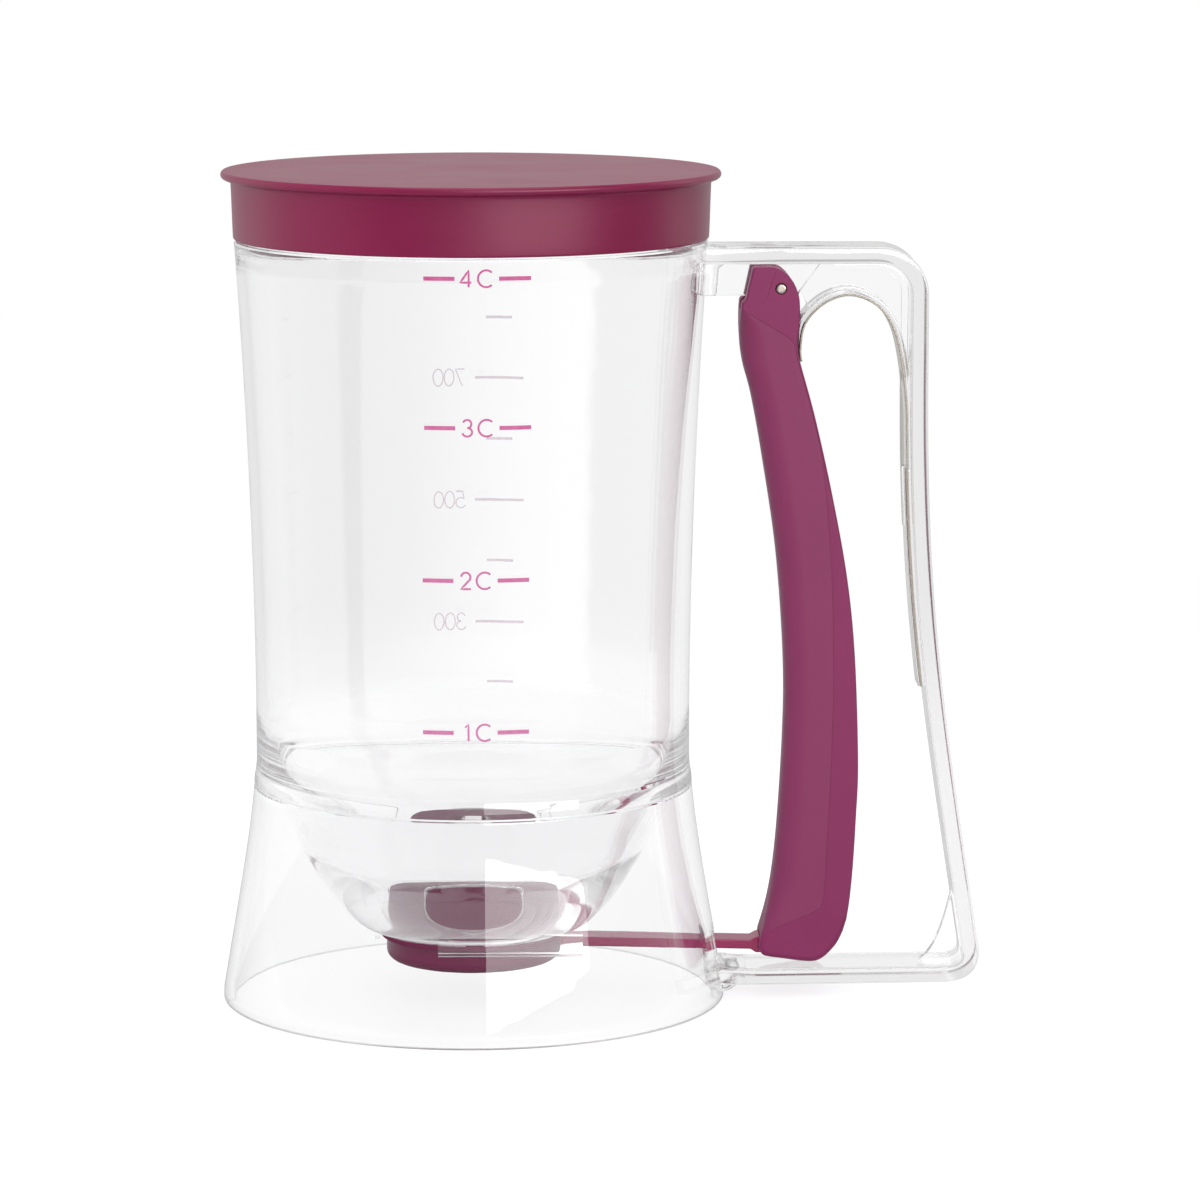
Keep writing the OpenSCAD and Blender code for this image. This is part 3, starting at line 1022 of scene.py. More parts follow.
@dataclass
class HandleFrame:
    """The handle's flange, web, spring pocket and roots, as solids that join the pitcher."""

    foot_r: float = 56.75
    beam_top: float = 169.9
    beam_low: float = 3.0
    side_x: float = 101.4
    foot_x: float = 114.0
    corner_r: float = 10.7
    flange_w: float = 16.0
    flange_t: float = 3.8
    web_t: float = 3.0
    pivot: tuple = (68.6, 160.6)
    pin_room: float = 1.36
    head_r: float = 4.6
    leaf_t: float = 0.45
    leaf_w: float = 11.0
    leaf_inset: float = 4.55
    leaf_gap: float = 0.06
    lip_end_z: float = 118.0
    wall_x: float = 51.2

    def __post_init__(self) -> None:
        """Works out the lines that the solids follow."""
        t, fx = self.beam_top, self.foot_x
        self.side = bezier((self.side_x, 0.82 * t), (self.side_x, 0.52 * t),
                           (self.side_x + 0.38 * (fx - self.side_x), 0.365 * t), (fx, 11.4), 30)
        low_corner = bezier((fx, 11.4), (fx + 0.8, 6.3), (fx - 2.5, 3.4), (fx - 8, 3.4), 14)
        upper = arc((self.side_x - self.corner_r, t - self.corner_r), self.corner_r, 90, 0, 18)
        self.outer = chained(
            [(self.wall_x, t), (70.0, t), (self.side_x - self.corner_r - 10, t)],
            upper, self.side, low_corner,
            [(fx - 30, 3.2), (self.foot_r + 7, self.beam_low), (53.9, self.beam_low)])
        self.inner = shifted(self.outer, -self.flange_t)
        px, pz = self.pivot
        leaf_x = self.side_x - self.leaf_inset
        reach = leaf_x - px
        rise = [(px + share * reach, pz - drop) for share, drop in
                ((0.35, 3.3), (0.55, 1.6), (0.76, 3.9), (0.895, 9.4), (0.967, 18.1))]
        arch = smooth([(px + 4.72, pz - 16.4), (px + 4.45, pz - 13.6), (px + 5.5, pz - 7.9), *rise,
                       (leaf_x, pz - 28)], 7)
        leg = shifted(self.side, -self.leaf_inset)
        leg = leg[(leg[:, 1] > 0.414 * t) & (leg[:, 1] < pz - 33)]
        self.leaf = chained(arch, leg)

    def beside_leaf(self, side: int, distance: float = 0.0) -> Line:
        """A line beside the leaf, past its gap by a distance, with side 1 over the arch and -1 under it."""
        return shifted(self.leaf, side * (self.leaf_t / 2 + self.leaf_gap + distance))

    def solids(self, shape: NodeShape) -> list:
        """Builds the handle's solids.

        Args:
            shape: the swept bar tree.

        Returns:
            Closed objects that overlap one another and the pitcher's wall.
        """
        px, pz = self.pivot
        t = self.beam_top
        low = t - 11.3
        boss = chained([(self.wall_x, t - 1), (self.wall_x, low), (px - 6.5, low)],
                       arc(self.pivot, self.head_r, 205, 345, 14),
                       [(px + 5.2, pz - 0.2), (px + 9.2, pz + 5.2), (px + 9.2, t - 1)])
        over, inner = self.beside_leaf(1, 0.5), self.inner
        side_in = inner[(inner[:, 1] > 0.43 * t - 4) & (inner[:, 1] < t - self.corner_r) & (inner[:, 0] > px)]
        web = chained([(px + 1.0, t - 1), (px + 2.5, pz + 3.0), (px + 5.4, pz - 2.5)],
                      over[over[:, 0] > px + 6.1], (side_in + (1, 0))[::-1],
                      [(self.side_x - self.flange_t - self.corner_r / 2, t - self.corner_r / 2),
                       (self.side_x - self.corner_r, t - 1)])
        middle = shifted(self.outer, -self.flange_t / 2)
        beside = (self.outer[:, 1] > 0.62 * t) & (self.outer[:, 0] > px + 6)
        border = shifted(self.outer, -self.flange_t - 0.9)[beside]
        lip = self.beside_leaf(1, 0.55)
        lip = lip[lip[:, 1] > self.lip_end_z][4:]
        return [bar_along(shape, "flange", middle, self.flange_t, self.flange_w, 0.55, 4),
                slab("boss", boss, self.web_t, 0.2), slab("web", web, self.web_t - 0.5, 0.2),
                bar_along(shape, "web border", border, 1.9, self.web_t, 0.2, 2),
                bar_along(shape, "arch lip", lip, 1.1, self.leaf_w, 0.25, 3), self.pocket(), *self.roots()]

    def pocket(self) -> Piece:
        """The walls beside the leaf and the lip in front of it, where the flange holds it.

        Returns:
            A closed object with the leaf's room cut out.
        """
        t = self.beam_top
        line = self.leaf[self.leaf[:, 1] < 0.722 * t]
        front = shifted(line, -(self.leaf_t / 2 + self.leaf_gap + 0.4))
        back = self.inner[(self.inner[:, 1] < 0.722 * t + 1) & (self.inner[:, 1] > 0.395 * t)
                          & (self.inner[:, 0] > self.pivot[0])] + (0.5, 0)
        block = slab("pocket", chained(front, back[::-1]), 9.0, 0.15)
        room = slab("leaf room", chained(self.beside_leaf(-1), self.beside_leaf(1)[::-1]),
                    self.leaf_w + 2 * self.leaf_gap, 0.0, 0.0, 1)
        return combine(block, [room], Cut.REMOVE)

    def roots(self) -> list:
        """The gusset in the lower corner and the thickened roots at the pitcher.

        Returns:
            Closed objects.
        """
        fx, fr, bl, ft, t = self.foot_x, self.foot_r, self.beam_low, self.flange_t, self.beam_top
        gusset = chained([(fx - 14.5, bl + ft - 0.5), (fx - 14.5, bl + ft + 0.2)],
                         bezier((fx - 13.5, bl + ft + 0.3), (fx - 9, bl + ft + 2), (fx - 7.2, 17),
                                (fx - 4.9, 27.0), 16), [(fx - 3, 27.0), (fx - 3, bl + 2)])
        low = smooth([(53.6, 2.2), (fr - 1.0, 1.3), (fr + 0.9, 1.7), (fr + 2.9, bl - 0.1),
                      (fr + 5.0, bl + 0.1), (fr + 5.2, bl + ft - 0.3), (fr + 2.6, bl + ft + 0.2),
                      (fr - 0.6, bl + ft + 0.6), (54.2, bl + ft + 0.6), (53.4, bl + ft - 1.2)], 4)
        high = np.array([[self.wall_x, t - 11.2], [54.4, t - 11.2], [54.9, t - ft - 1.2],
                         [57.2, t - ft + 0.4], [57.2, t - 1], [self.wall_x, t - 1]])
        return [slab("gusset", gusset, self.web_t, 0.2), slab("foot root", low, self.flange_w - 0.6, 1.2),
                slab("upper root", softened(high, 1.0), 8.0, 0.8)]


@dataclass
class ClearPitcher:
    """The whole clear moulding, built as one closed body."""

    body: PitcherBody = field(default_factory=PitcherBody)
    handle: HandleFrame = field(default_factory=HandleFrame)
    frame_x: float = 57.2
    sharp: float = 30.0

    def build(self, finishes: Finishes, bar: NodeShape) -> Piece:
        """Builds, dresses and places the moulding.

        Args:
            finishes: the finishes.
            bar: the swept bar tree.

        Returns:
            The moulding.
        """
        piece = lathe("clear_pitcher", self.body.profile(), self.body.segments)
        combine(piece, [self.body.slot_cutter()], Cut.REMOVE)
        combine(piece, self.body.rails(), Cut.JOIN)
        frame_part, *others = self.handle.solids(bar)
        combine(frame_part, others, Cut.JOIN)
        combine(frame_part, [rod("bore", self.handle.pivot, self.handle.pin_room, 6)], Cut.REMOVE)
        combine(piece, [frame_part], Cut.JOIN)
        settle(piece, finishes.clear, self.sharp, self.frame_x)
        self.dress_frame(piece, finishes.frame)
        return hand_over(piece, "pitcher", "clear_plastic",
                         "container", "base_skirt", "valve_guide", "handle")

    def dress_frame(self, piece: Piece, material: Material) -> None:
        """Gives the handle's deep flange its own tint, and leaves the thin web clear.

        Args:
            piece: the moulding, in metres.
            material: the flange's finish.
        """
        piece.data.materials.append(material)
        for face in piece.data.polygons:
            x, y, _ = face.center
            if x > self.frame_x * MM and abs(y) > self.handle.web_t * 0.75 * MM:
                face.material_index = 1


# ---------------------------------------------------------------- printed scales


class Glyphs:
    """Plain numerals and the letter C as centre lines, one unit high."""

    @staticmethod
    def ring(cx: float, cy: float, rx: float, ry: float, start: float, stop: float, steps: int = 22) -> list:
        """Part of an ellipse as a list of points."""
        return [(cx + rx * math.cos(math.radians(a)), cy + ry * math.sin(math.radians(a)))
                for a in np.linspace(start, stop, steps + 1)]

    @classmethod
    def lines(cls, glyph: str) -> tuple[list, float]:
        """The centre lines of a glyph.

        Args:
            glyph: a numeral or C.

        Returns:
            Its lines and its width.
        """
        ring = cls.ring
        shapes = {
            "0": ([ring(0.3, 0.5, 0.3, 0.5, 0, 360)], 0.6),
            "1": ([[(0.0, 0.82), (0.2, 1.0), (0.2, 0.0)]], 0.24),
            "2": ([ring(0.29, 0.71, 0.28, 0.29, 172, -28) + [(0.0, 0.0), (0.6, 0.0)]], 0.6),
            "3": ([ring(0.27, 0.75, 0.25, 0.25, 160, -88), ring(0.27, 0.26, 0.29, 0.26, 88, -165)], 0.58),
            "4": ([[(0.5, 0.0), (0.5, 1.0), (0.0, 0.27), (0.66, 0.27)]], 0.68),
            "5": ([[(0.54, 1.0), (0.16, 1.0), (0.07, 0.56)] + ring(0.27, 0.31, 0.3, 0.31, 122, -150)], 0.58),
            "7": ([[(0.0, 1.0), (0.56, 1.0), (0.16, 0.0)]], 0.58),
            "C": ([ring(0.5, 0.5, 0.49, 0.5, 48, 312, 30)], 0.86),
        }
        return shapes[glyph]

    @classmethod
    def word(cls, text: str, height: float, left: float, low: float, gap: float = 0.3) -> list:
        """The centre lines of a word.

        Args:
            text: its glyphs.
            height: its height.
            left, low: its lower left corner.
            gap: the space between glyphs.

        Returns:
            The lines in place.
        """
        out = []
        for glyph in text:
            lines, width = cls.lines(glyph)
            out += [[(left + x * height, low + y * height) for x, y in line] for line in lines]
            left += width * height + gap
        return out


def printed_scale() -> NodeShape:
    """The tree that thickens flat centre lines to ink and wraps them round the flaring wall.

    Returns:
        The tree, ready to run.
    """
    tree, node, given = new_shape_tree("printed scale", (
        "Stroke", "Depth", "Turn", "Waist Radius", "Shoulder Radius", "Waist Height", "Shoulder Height",
        "Flare"))
    section = node.out("GeometryNodeCurvePrimitiveQuadrilateral", {
        "Width": given["Depth"], "Height": given["Stroke"]})
    ink = swept(node, given["Geometry"], section)
    at = node.add("ShaderNodeSeparateXYZ", {0: node.out("GeometryNodeInputPosition")}).outputs
    rise = node.math("DIVIDE", node.math("SUBTRACT", at[2], given["Waist Height"]),
                     node.math("SUBTRACT", given["Shoulder Height"], given["Waist Height"]))
    rise = node.math("POWER", node.math("MAXIMUM", rise, 0.0), given["Flare"])
    wall = node.math("MULTIPLY_ADD", node.math("SUBTRACT", given["Shoulder Radius"], given["Waist Radius"]),
                     rise, given["Waist Radius"])
    angle = node.math("ADD", node.math("DIVIDE", at[0], wall), given["Turn"])
    reach = node.math("SUBTRACT", wall, at[1])
    x = node.math("MULTIPLY", reach, node.math("SINE", angle))
    y = node.math("MULTIPLY", node.math("MULTIPLY", reach, node.math("COSINE", angle)), -1.0)
    place = node.out("ShaderNodeCombineXYZ", {0: x, 1: y, 2: at[2]})
    wrapped = node.out("GeometryNodeSetPosition", {"Geometry": ink, "Position": place})
    end_shape_tree(node, wrapped, given["Material"])
    return NodeShape(tree)


@dataclass
class Scale:
    """One printed scale on the container's wall."""

    name: str
    lines: list
    stroke: float
    turn: float
    wall: PitcherBody
    depth: float = 0.05

    def build(self, shape: NodeShape, material: Material) -> Piece:
        """Builds, dresses and places the scale.

        Args:
            shape: the printed scale tree.
            material: the ink.

        Returns:
            The scale.
        """
        points, edges = [], []
        for line in self.lines:
            line = self.divided(line)
            edges += [(len(points) + a, len(points) + b) for a, b in chain(len(line))]
            points += [(x, -self.depth / 2, z) for x, z in line]
        piece = shape.apply(make(self.name, points, [], edges), {
            "Stroke": self.stroke, "Depth": self.depth, "Turn": self.turn,
            "Waist Radius": self.wall.waist_r, "Shoulder Radius": self.wall.shoulder_r,
            "Waist Height": self.wall.waist_z, "Shoulder Height": self.wall.shoulder_z,
            "Flare": self.wall.flare})
        return hand_over(settle(piece, material), "pitcher", "lid_plastic")

    @staticmethod
    def divided(line: list) -> list:
        """A line with no span over a millimetre, so that it follows the wall.

        Args:
            line: its points.

        Returns:
            The points with others between them.
        """
        out = [line[0]]
        for a, b in zip(line, line[1:]):
            n = max(1, math.ceil(math.dist(a, b)))
            out += [(a[0] + (b[0] - a[0]) * k / n, a[1] + (b[1] - a[1]) * k / n) for k in range(1, n + 1)]
        return out


def dash(left: float, right: float, z: float, stroke: float) -> list:
    """A dash of two strokes side by side."""
    return [[(left, z + side * stroke / 2), (right, z + side * stroke / 2)] for side in (-1, 1)]


def cup_lines(stroke: float) -> list:
    """The centre lines of the cup scale: a dash, a numeral, a C and a dash at each level.

    Args:
        stroke: the width of the ink.

    Returns:
        The lines.
    """
    height = 3.6
    out = []
    for digit, z, x, left in (("4", 167.2, 0.0, -2.5), ("3", 135.0, 0.0, -2.1), ("2", 101.8, -0.5, -2.1),
                              ("1", 68.5, -0.6, -1.2)):
        out += dash(x - 10.4, x - 3.7, z, stroke) + dash(x + 5.8, x + 12.7, z, stroke)
        out += Glyphs.word(digit, height, x + left, z - height / 2)
        out += Glyphs.word("C", height, x + 1.25, z - height / 2)
    return out


def ml_lines(stroke: float) -> list:
    """The centre lines of the millilitre scale: long ticks with numbers and short ticks between them.

    Args:
        stroke: the width of the ink.

    Returns:
        The lines.
    """
    height = 3.9
    out = []
    for number, z in (("700", 134.9), ("500", 106.4), ("300", 77.8)):
        out += dash(-12.5, -0.8, z, stroke) + Glyphs.word(number, height, 1.6, z - height / 2)
    for z in (148.9, 120.7, 92.2, 63.6):
        out += dash(-9.8, -3.5, z, stroke)
    return out


# ---------------------------------------------------------------- lid


@dataclass
class Lid:
    """The round push-on lid."""

    band_in: float = 51.3
    band_out: float = 53.05
    flange_r: float = 55.5
    low: float = 171.6
    under: float = 184.9
    top: float = 186.8
    segments: int = 224

    def build(self, finishes: Finishes) -> Piece:
        """Builds, dresses and places the lid.

        Args:
            finishes: the finishes.

        Returns:
            The lid.
        """
        half = (self.top - self.under) / 2
        profile = chained(
            [(0.0, self.under)], [(self.band_in - 0.4, self.under)], [(self.band_in, self.under - 0.4)],
            [(self.band_in, self.low + 0.3), (self.band_in + 0.3, self.low)],
            arc((self.band_out - 0.7, self.low + 0.5), 0.5, -90, 0, 5),
            bezier((self.band_out - 0.15, self.low + 1.5), (self.band_out, self.low + 5),
                   (self.band_out + 0.1, self.under - 3), (self.band_out + 0.25, self.under - 0.9), 12),
            arc((self.band_out + 1.05, self.under - 0.9), 0.8, 180, 92, 6),
            arc((self.flange_r - half, self.top - half), half, -88, 62, 14),
            [(self.flange_r - 1.9, self.top - 0.08), (self.flange_r - 4.0, self.top - 0.05),
             (self.flange_r - 12.0, self.top), (20.0, self.top), (0.0, self.top)])
        cover = settle(lathe("lid_cover", profile, self.segments), finishes.lid)
        return hand_over(cover, "lid", "lid_plastic", "lid")


# ---------------------------------------------------------------- trigger


@dataclass
class Trigger:
    """The trigger: a lever with a forked head, the finger grip set into it, and its pin."""

    pivot: tuple = (68.6, 160.6)
    peg: tuple = (67.2, 12.2)
    width: float = 15.0
    pin_r: float = 1.2
    pin_reach: float = 7.1
    bore_r: float = 1.25
    peg_reach: float = 4.45
    fork_half: float = 1.8
    foot_half: float = 3.95
    crease: float = 0.035
    cheek_depth: float = 0.14
    pad_depth: float = 0.26
    sharp: float = 40.0

    def path(self, near: list, down: list | None = None) -> list:
        """Points of the trigger's side view.

        Args:
            near: points as offsets from the pivot.
            down: points that follow, each as its share of the way down to the peg and its offset from there.

        Returns:
            All of the points.
        """
        (px, pz), (qx, qz) = self.pivot, self.peg
        return ([(px + dx, pz + dz) for dx, dz in near]
                + [(px + (qx - px) * share + out, pz + (qz - pz) * share) for share, out in down or []])

    def outline(self) -> tuple[Line, Line]:
        """The trigger's outline and the radius of its edges at each corner.

        Returns:
            The closed outline and the radii.
        """
        front = smooth(self.path(
            [(-8.75, -4.4), (-8.95, -6.6), (-9.0, -9.2), (-8.75, -13.4), (-8.05, -17.6)],
            [(0.165, -6.0), (0.256, -3.4), (0.4, 0), (0.56, 2), (0.68, 2.15), (0.837, 1), (0.93, -0.6),
             (0.99, -2.5)]))
        back = smooth(self.path(
            [(4.18, -3.3), (4.25, -5.2), (4.15, -8.0), (3.75, -11.4), (3.85, -13.6), (4.4, -16.6)],
            [(0.196, 8.1), (0.317, 12.3), (0.44, 15.8), (0.56, 17.8), (0.72, 18.9), (0.807, 18.6),
             (0.88, 18.1), (0.93, 17.5), (0.962, 16.85)]))
        foot = smooth(self.path([], [
            (0.98, 16.1), (0.9985, 14.8), (1.0125, 13.1), (1.0225, 11.4), (1.027, 9.6), (1.0265, 6.8),
            (1.0228, 2.8), (1.0195, -0.7), (1.016, -2.1), (1.008, -2.85)]), 4)
        brow = softened(np.array(self.path(
            [(-8.75, -4.3), (-8.65, -3.2), (-7.8, -2.4), (-6.25, 4.75), (-2.1, 4.8)])), 0.5, 4, 12)[5:-5]
        crown = smooth(self.path([(-2.4, 4.8), (-1.3, 4.7), (0.2, 4.05), (1.5, 3.0), (2.6, 1.65), (3.4, 0.1),
                                  (3.95, -1.6), (4.12, -2.8)]), 5)
        head = chained(brow, crown)
        steps = np.arange(len(front))
        rise = 0.9 + 4.5 * np.sin(np.clip((steps[::-1] - 2) / 22.0, 0, 1) * math.pi / 2)
        fall = 1.3 + 4.1 * np.clip(steps / 10.0, 0, 1)
        radii = [np.minimum(rise, fall), np.full(len(brow), 0.9), np.full(len(head) - len(brow), 0.55),
                 np.full(len(back), 1.0), np.full(len(foot), 1.3)]
        return np.vstack([front[::-1], head, back, foot]), np.concatenate(radii)

    def grip_line(self) -> Line:
        """The crease that the grip ends on, closed well in front of the trigger."""
        return chained(self.path([(-14, -1.55), (-8.7, -4.55), (1.7, -10.9), (2.4, -11.5)]), self.ridge(),
                       self.path([], [(0.952, 8.6), (0.981, -1.7), (0.985, -14)]))

    def ridge(self) -> Line:
        """The crease between the finger side and the spine."""
        return smooth(self.path([(2.85, -12.3)], [
            (0.12, 4.3), (0.256, 9.6), (0.41, 12.0), (0.52, 12.75), (0.63, 13.0), (0.76, 12.6), (0.86, 12.05),
            (0.92, 11.6), (0.943, 10.8)]), 6)

    def build(self, finishes: Finishes) -> list:
        """Builds, dresses and places the lever, the grip and the pin.

        Args:
            finishes: the finishes.

        Returns:
            The three pieces.
        """
        (px, pz), (qx, qz) = self.pivot, self.peg
        outline, radii = self.outline()
        body = slab("trigger_grip_skin", outline, self.width, radii, 0.0, 6)
        foot = self.foot_half
        combine(body, [box("fork", (px - 12, -self.fork_half, pz - 5.0), (px + 12, self.fork_half, pz + 15)),
                       box("foot", (qx - 8, -foot, qz - 6), (qx - 1, foot, qz + 1.5)),
                       box("foot", (qx - 1.6, -foot, qz - 6), (qx + 4.3, foot, qz + 4))], Cut.REMOVE)
        lever = placed("trigger_lever_frame", body.data.copy())
        region = self.grip_line()
        region = region if area(region) > 0 else region[::-1]
        inside, whole = [slab("grip region", line, self.width + 4, 0.0, 0.0, 1)
                         for line in (region + inward(region) * self.crease, region)]
        grip = combine(body, [inside], Cut.KEEP)
        cutters = [whole, *self.spine_cutters(), *self.cheek_cutters(-1), *self.cheek_cutters(1)]
        combine(lever, [*cutters, rod("pin bore", self.pivot, self.bore_r, 10)], Cut.REMOVE)
        combine(lever, [rod("peg", self.peg, self.pin_r, self.peg_reach)], Cut.JOIN)
        pin = rod("hinge_pin", self.pivot, self.pin_r, self.pin_reach, 0.4)
        hand_over(settle(lever, finishes.lever, self.sharp), "trigger", "trigger_plastic", "trigger_lever")
        hand_over(settle(grip, finishes.grip, self.sharp), "trigger", "grip_plastic", "trigger_grip")
        hand_over(settle(pin, finishes.pin), "trigger", "pin_steel", "pivot_pin")
        return [lever, grip, pin]

    def spine_cutters(self) -> list:
        """The bodies that slope the spine's sides away from the crease.

        Returns:
            Two closed objects.
        """
        crease = self.ridge()
        half, past, reach, depth = self.width / 2 - 0.1, self.width / 2 + 3, 9.0, 0.55
        share = np.linspace(0, 1, len(crease))
        falls = depth * np.clip(share / 0.1, 0.02, 1) * np.clip((1 - share) / 0.16, 0.02, 1)
        return [self.ribbon("spine slope", [
            [(p[0], side * half, p[1]), (q[0], side * (half - fall), q[1]), (q[0], side * past, q[1]),
             (p[0], side * past, p[1])] for p, q, fall in zip(crease, shifted(crease, reach), falls)])
            for side in (-1, 1)]

    @staticmethod
    def ribbon(name: str, rows: list) -> Piece:
        """A closed body through a row of four-cornered sections.

        Args:
            name: the object's name.
            rows: the sections, each as four points.

        Returns:
            The object.
        """
        faces = []
        for low in range(0, 4 * len(rows) - 4, 4):
            faces += [[low + k, low + (k + 1) % 4, low + 4 + (k + 1) % 4, low + 4 + k] for k in range(4)]
        last = 4 * len(rows) - 4
        faces += [[3, 2, 1, 0], [last, last + 1, last + 2, last + 3]]
        piece = outward(make(name, [v for row in rows for v in row], faces))
        with edited(piece) as solid:
            bmesh.ops.triangulate(solid, faces=solid.faces)
        return piece

    def cheek_cutters(self, side: int) -> list:
        """The bodies that lower the cheek above the grip, the flat round the pin and the pin's seat.

        Args:
            side: -1 for the front cheek, 1 for the rear one.

        Returns:
            Three closed objects.
        """
        cheek = np.array(self.path([(-14, -1.45), (-8.7, -4.55), (1.7, -10.9), (2.4, -11.5), (8, -14.5),
                                    (8, 8), (-14, 8)]))
        flat = smooth(self.path([(-3.2, -2.15), (-3.0, -1.2), (-2.2, 1.4), (-1.2, 4.2), (-0.8, 8)]), 4)
        flat = chained(self.path([(8, -2.15), (8, 8)]), flat[::-1])
        face = side * self.width / 2
        seat = np.array([[0, -0.6], [1.26, -0.6], [1.28, -0.2], [1.42, 0.02], [1.46, 1.0], [0, 1.0]], float)
        return [slab("cheek", cheek, 4.0, 0.0, face + side * (2.0 - self.cheek_depth), 1),
                slab("flat", flat, 4.0, 0.24, face + side * (2.0 - self.pad_depth), 4),
                turned(lathe("countersink", seat, 48), "X", -90 * side,
                       (self.pivot[0], side * (self.width / 2 - self.pad_depth), self.pivot[1]))]


# ---------------------------------------------------------------- spring


@dataclass
class ReturnSpring:
    """The steel leaf that arches from the trigger's back over to the handle."""

    handle: HandleFrame
    still: tuple = (0.0945, 0.0, 0.150)
    moving: tuple = (0.0735, 0.0, 0.150)

    def build(self, finishes: Finishes, bar: NodeShape) -> Piece:
        """Builds, dresses and places the leaf.

        Args:
            finishes: the finishes.
            bar: the swept bar tree.

        Returns:
            The leaf.
        """
        h = self.handle
        piece = settle(bar_along(bar, "leaf_spring", h.leaf, h.leaf_t, h.leaf_w, 0.12, 2), finishes.spring)
        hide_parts("return_spring")
        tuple(self.still)
        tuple(self.moving)
        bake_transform(piece)
        return piece


# ---------------------------------------------------------------- valve


@dataclass
class Valve:
    """The sliding valve: cap, sealing disc and push arm."""

    cap_r: float = 19.7
    cap_low: float = 8.4
    cap_top: float = 13.9
    seal_t: float = 1.3
    seal_out: float = 1.3
    peg: tuple = (67.2, 12.2)
    arm_w: float = 7.3
    arm_t: float = 2.1
    hook_r: float = 1.3
    segments: int = 128

    def build(self, finishes: Finishes) -> list:
        """Builds, dresses and places the three pieces.

        Args:
            finishes: the finishes.

        Returns:
            The cap, the sealing disc and the arm.
        """
        cap = lathe("valve_cup", self.cap_profile(), self.segments)
        disc = self.disc(self.cap_r + self.seal_out, self.cap_top, self.cap_top + self.seal_t)
        seal = lathe("valve_gasket", softened(disc, 0.35, 4, 60), self.segments)
        return [hand_over(settle(piece, finish), "valve", slot, node) for piece, node, slot, finish in (
            (cap, "valve_cap", "valve_plastic", finishes.valve),
            (seal, "valve_seal", "seal_rubber", finishes.seal),
            (self.arm(), "valve_arm", "valve_plastic", finishes.arm))]

    @staticmethod
    def disc(radius: float, low: float, high: float) -> Line:
        """The outline of a plain disc, for lathe()."""
        return np.array([[0.0, low], [radius, low], [radius, high], [0.0, high]])

    def cap_profile(self) -> Line:
        """The shallow cup's outline, with a rounded lower edge.

        Returns:
            The closed outline.
        """
        edge, wall, fillet = 2.4, 1.8, 1.2
        inner_r, floor = self.cap_r - wall, self.cap_low + wall
        return chained([(0.0, self.cap_low)], arc((self.cap_r - edge, self.cap_low + edge), edge, -90, 0, 12),
                       [(self.cap_r, self.cap_top - 0.3), (self.cap_r - 0.3, self.cap_top),
                        (inner_r, self.cap_top), (inner_r, floor + fillet)],
                       arc((inner_r - fillet, floor + fillet), fillet, 0, -90, 5), [(0.0, floor)])

    def arm(self) -> Piece:
        """The push arm with its hook about the peg.

        Returns:
            The arm.
        """
        px, pz = self.peg
        near = pz - 1.8
        far, hook, gap = near + 0.9, pz - 2.6, self.hook_r
        t, r = self.arm_t, self.cap_r
        outline = np.array([
            (12.0, far), (r + 8, far), (px - 4.6, near), (px - 3.4, hook), (px + 3, hook), (px + 3, pz + 3),
            (px + gap, pz + 3), (px + gap, pz), (px - gap, pz), (px - gap, pz + 1.1), (px - 3.1, pz + 1.1),
            (px - 4.6, near + t), (r + 8, far + t), (12.0, far + t)])
        arm = slab("push_arm", softened(outline, 0.5, 3, 20), self.arm_w, 0.3)
        cap_room = lathe("cap room", self.disc(r + 0.01, self.cap_low - 1, self.cap_top + 4), self.segments)
        return combine(arm, [rod("peg room", self.peg, gap, 6), cap_room], Cut.REMOVE)


# ---------------------------------------------------------------- studio


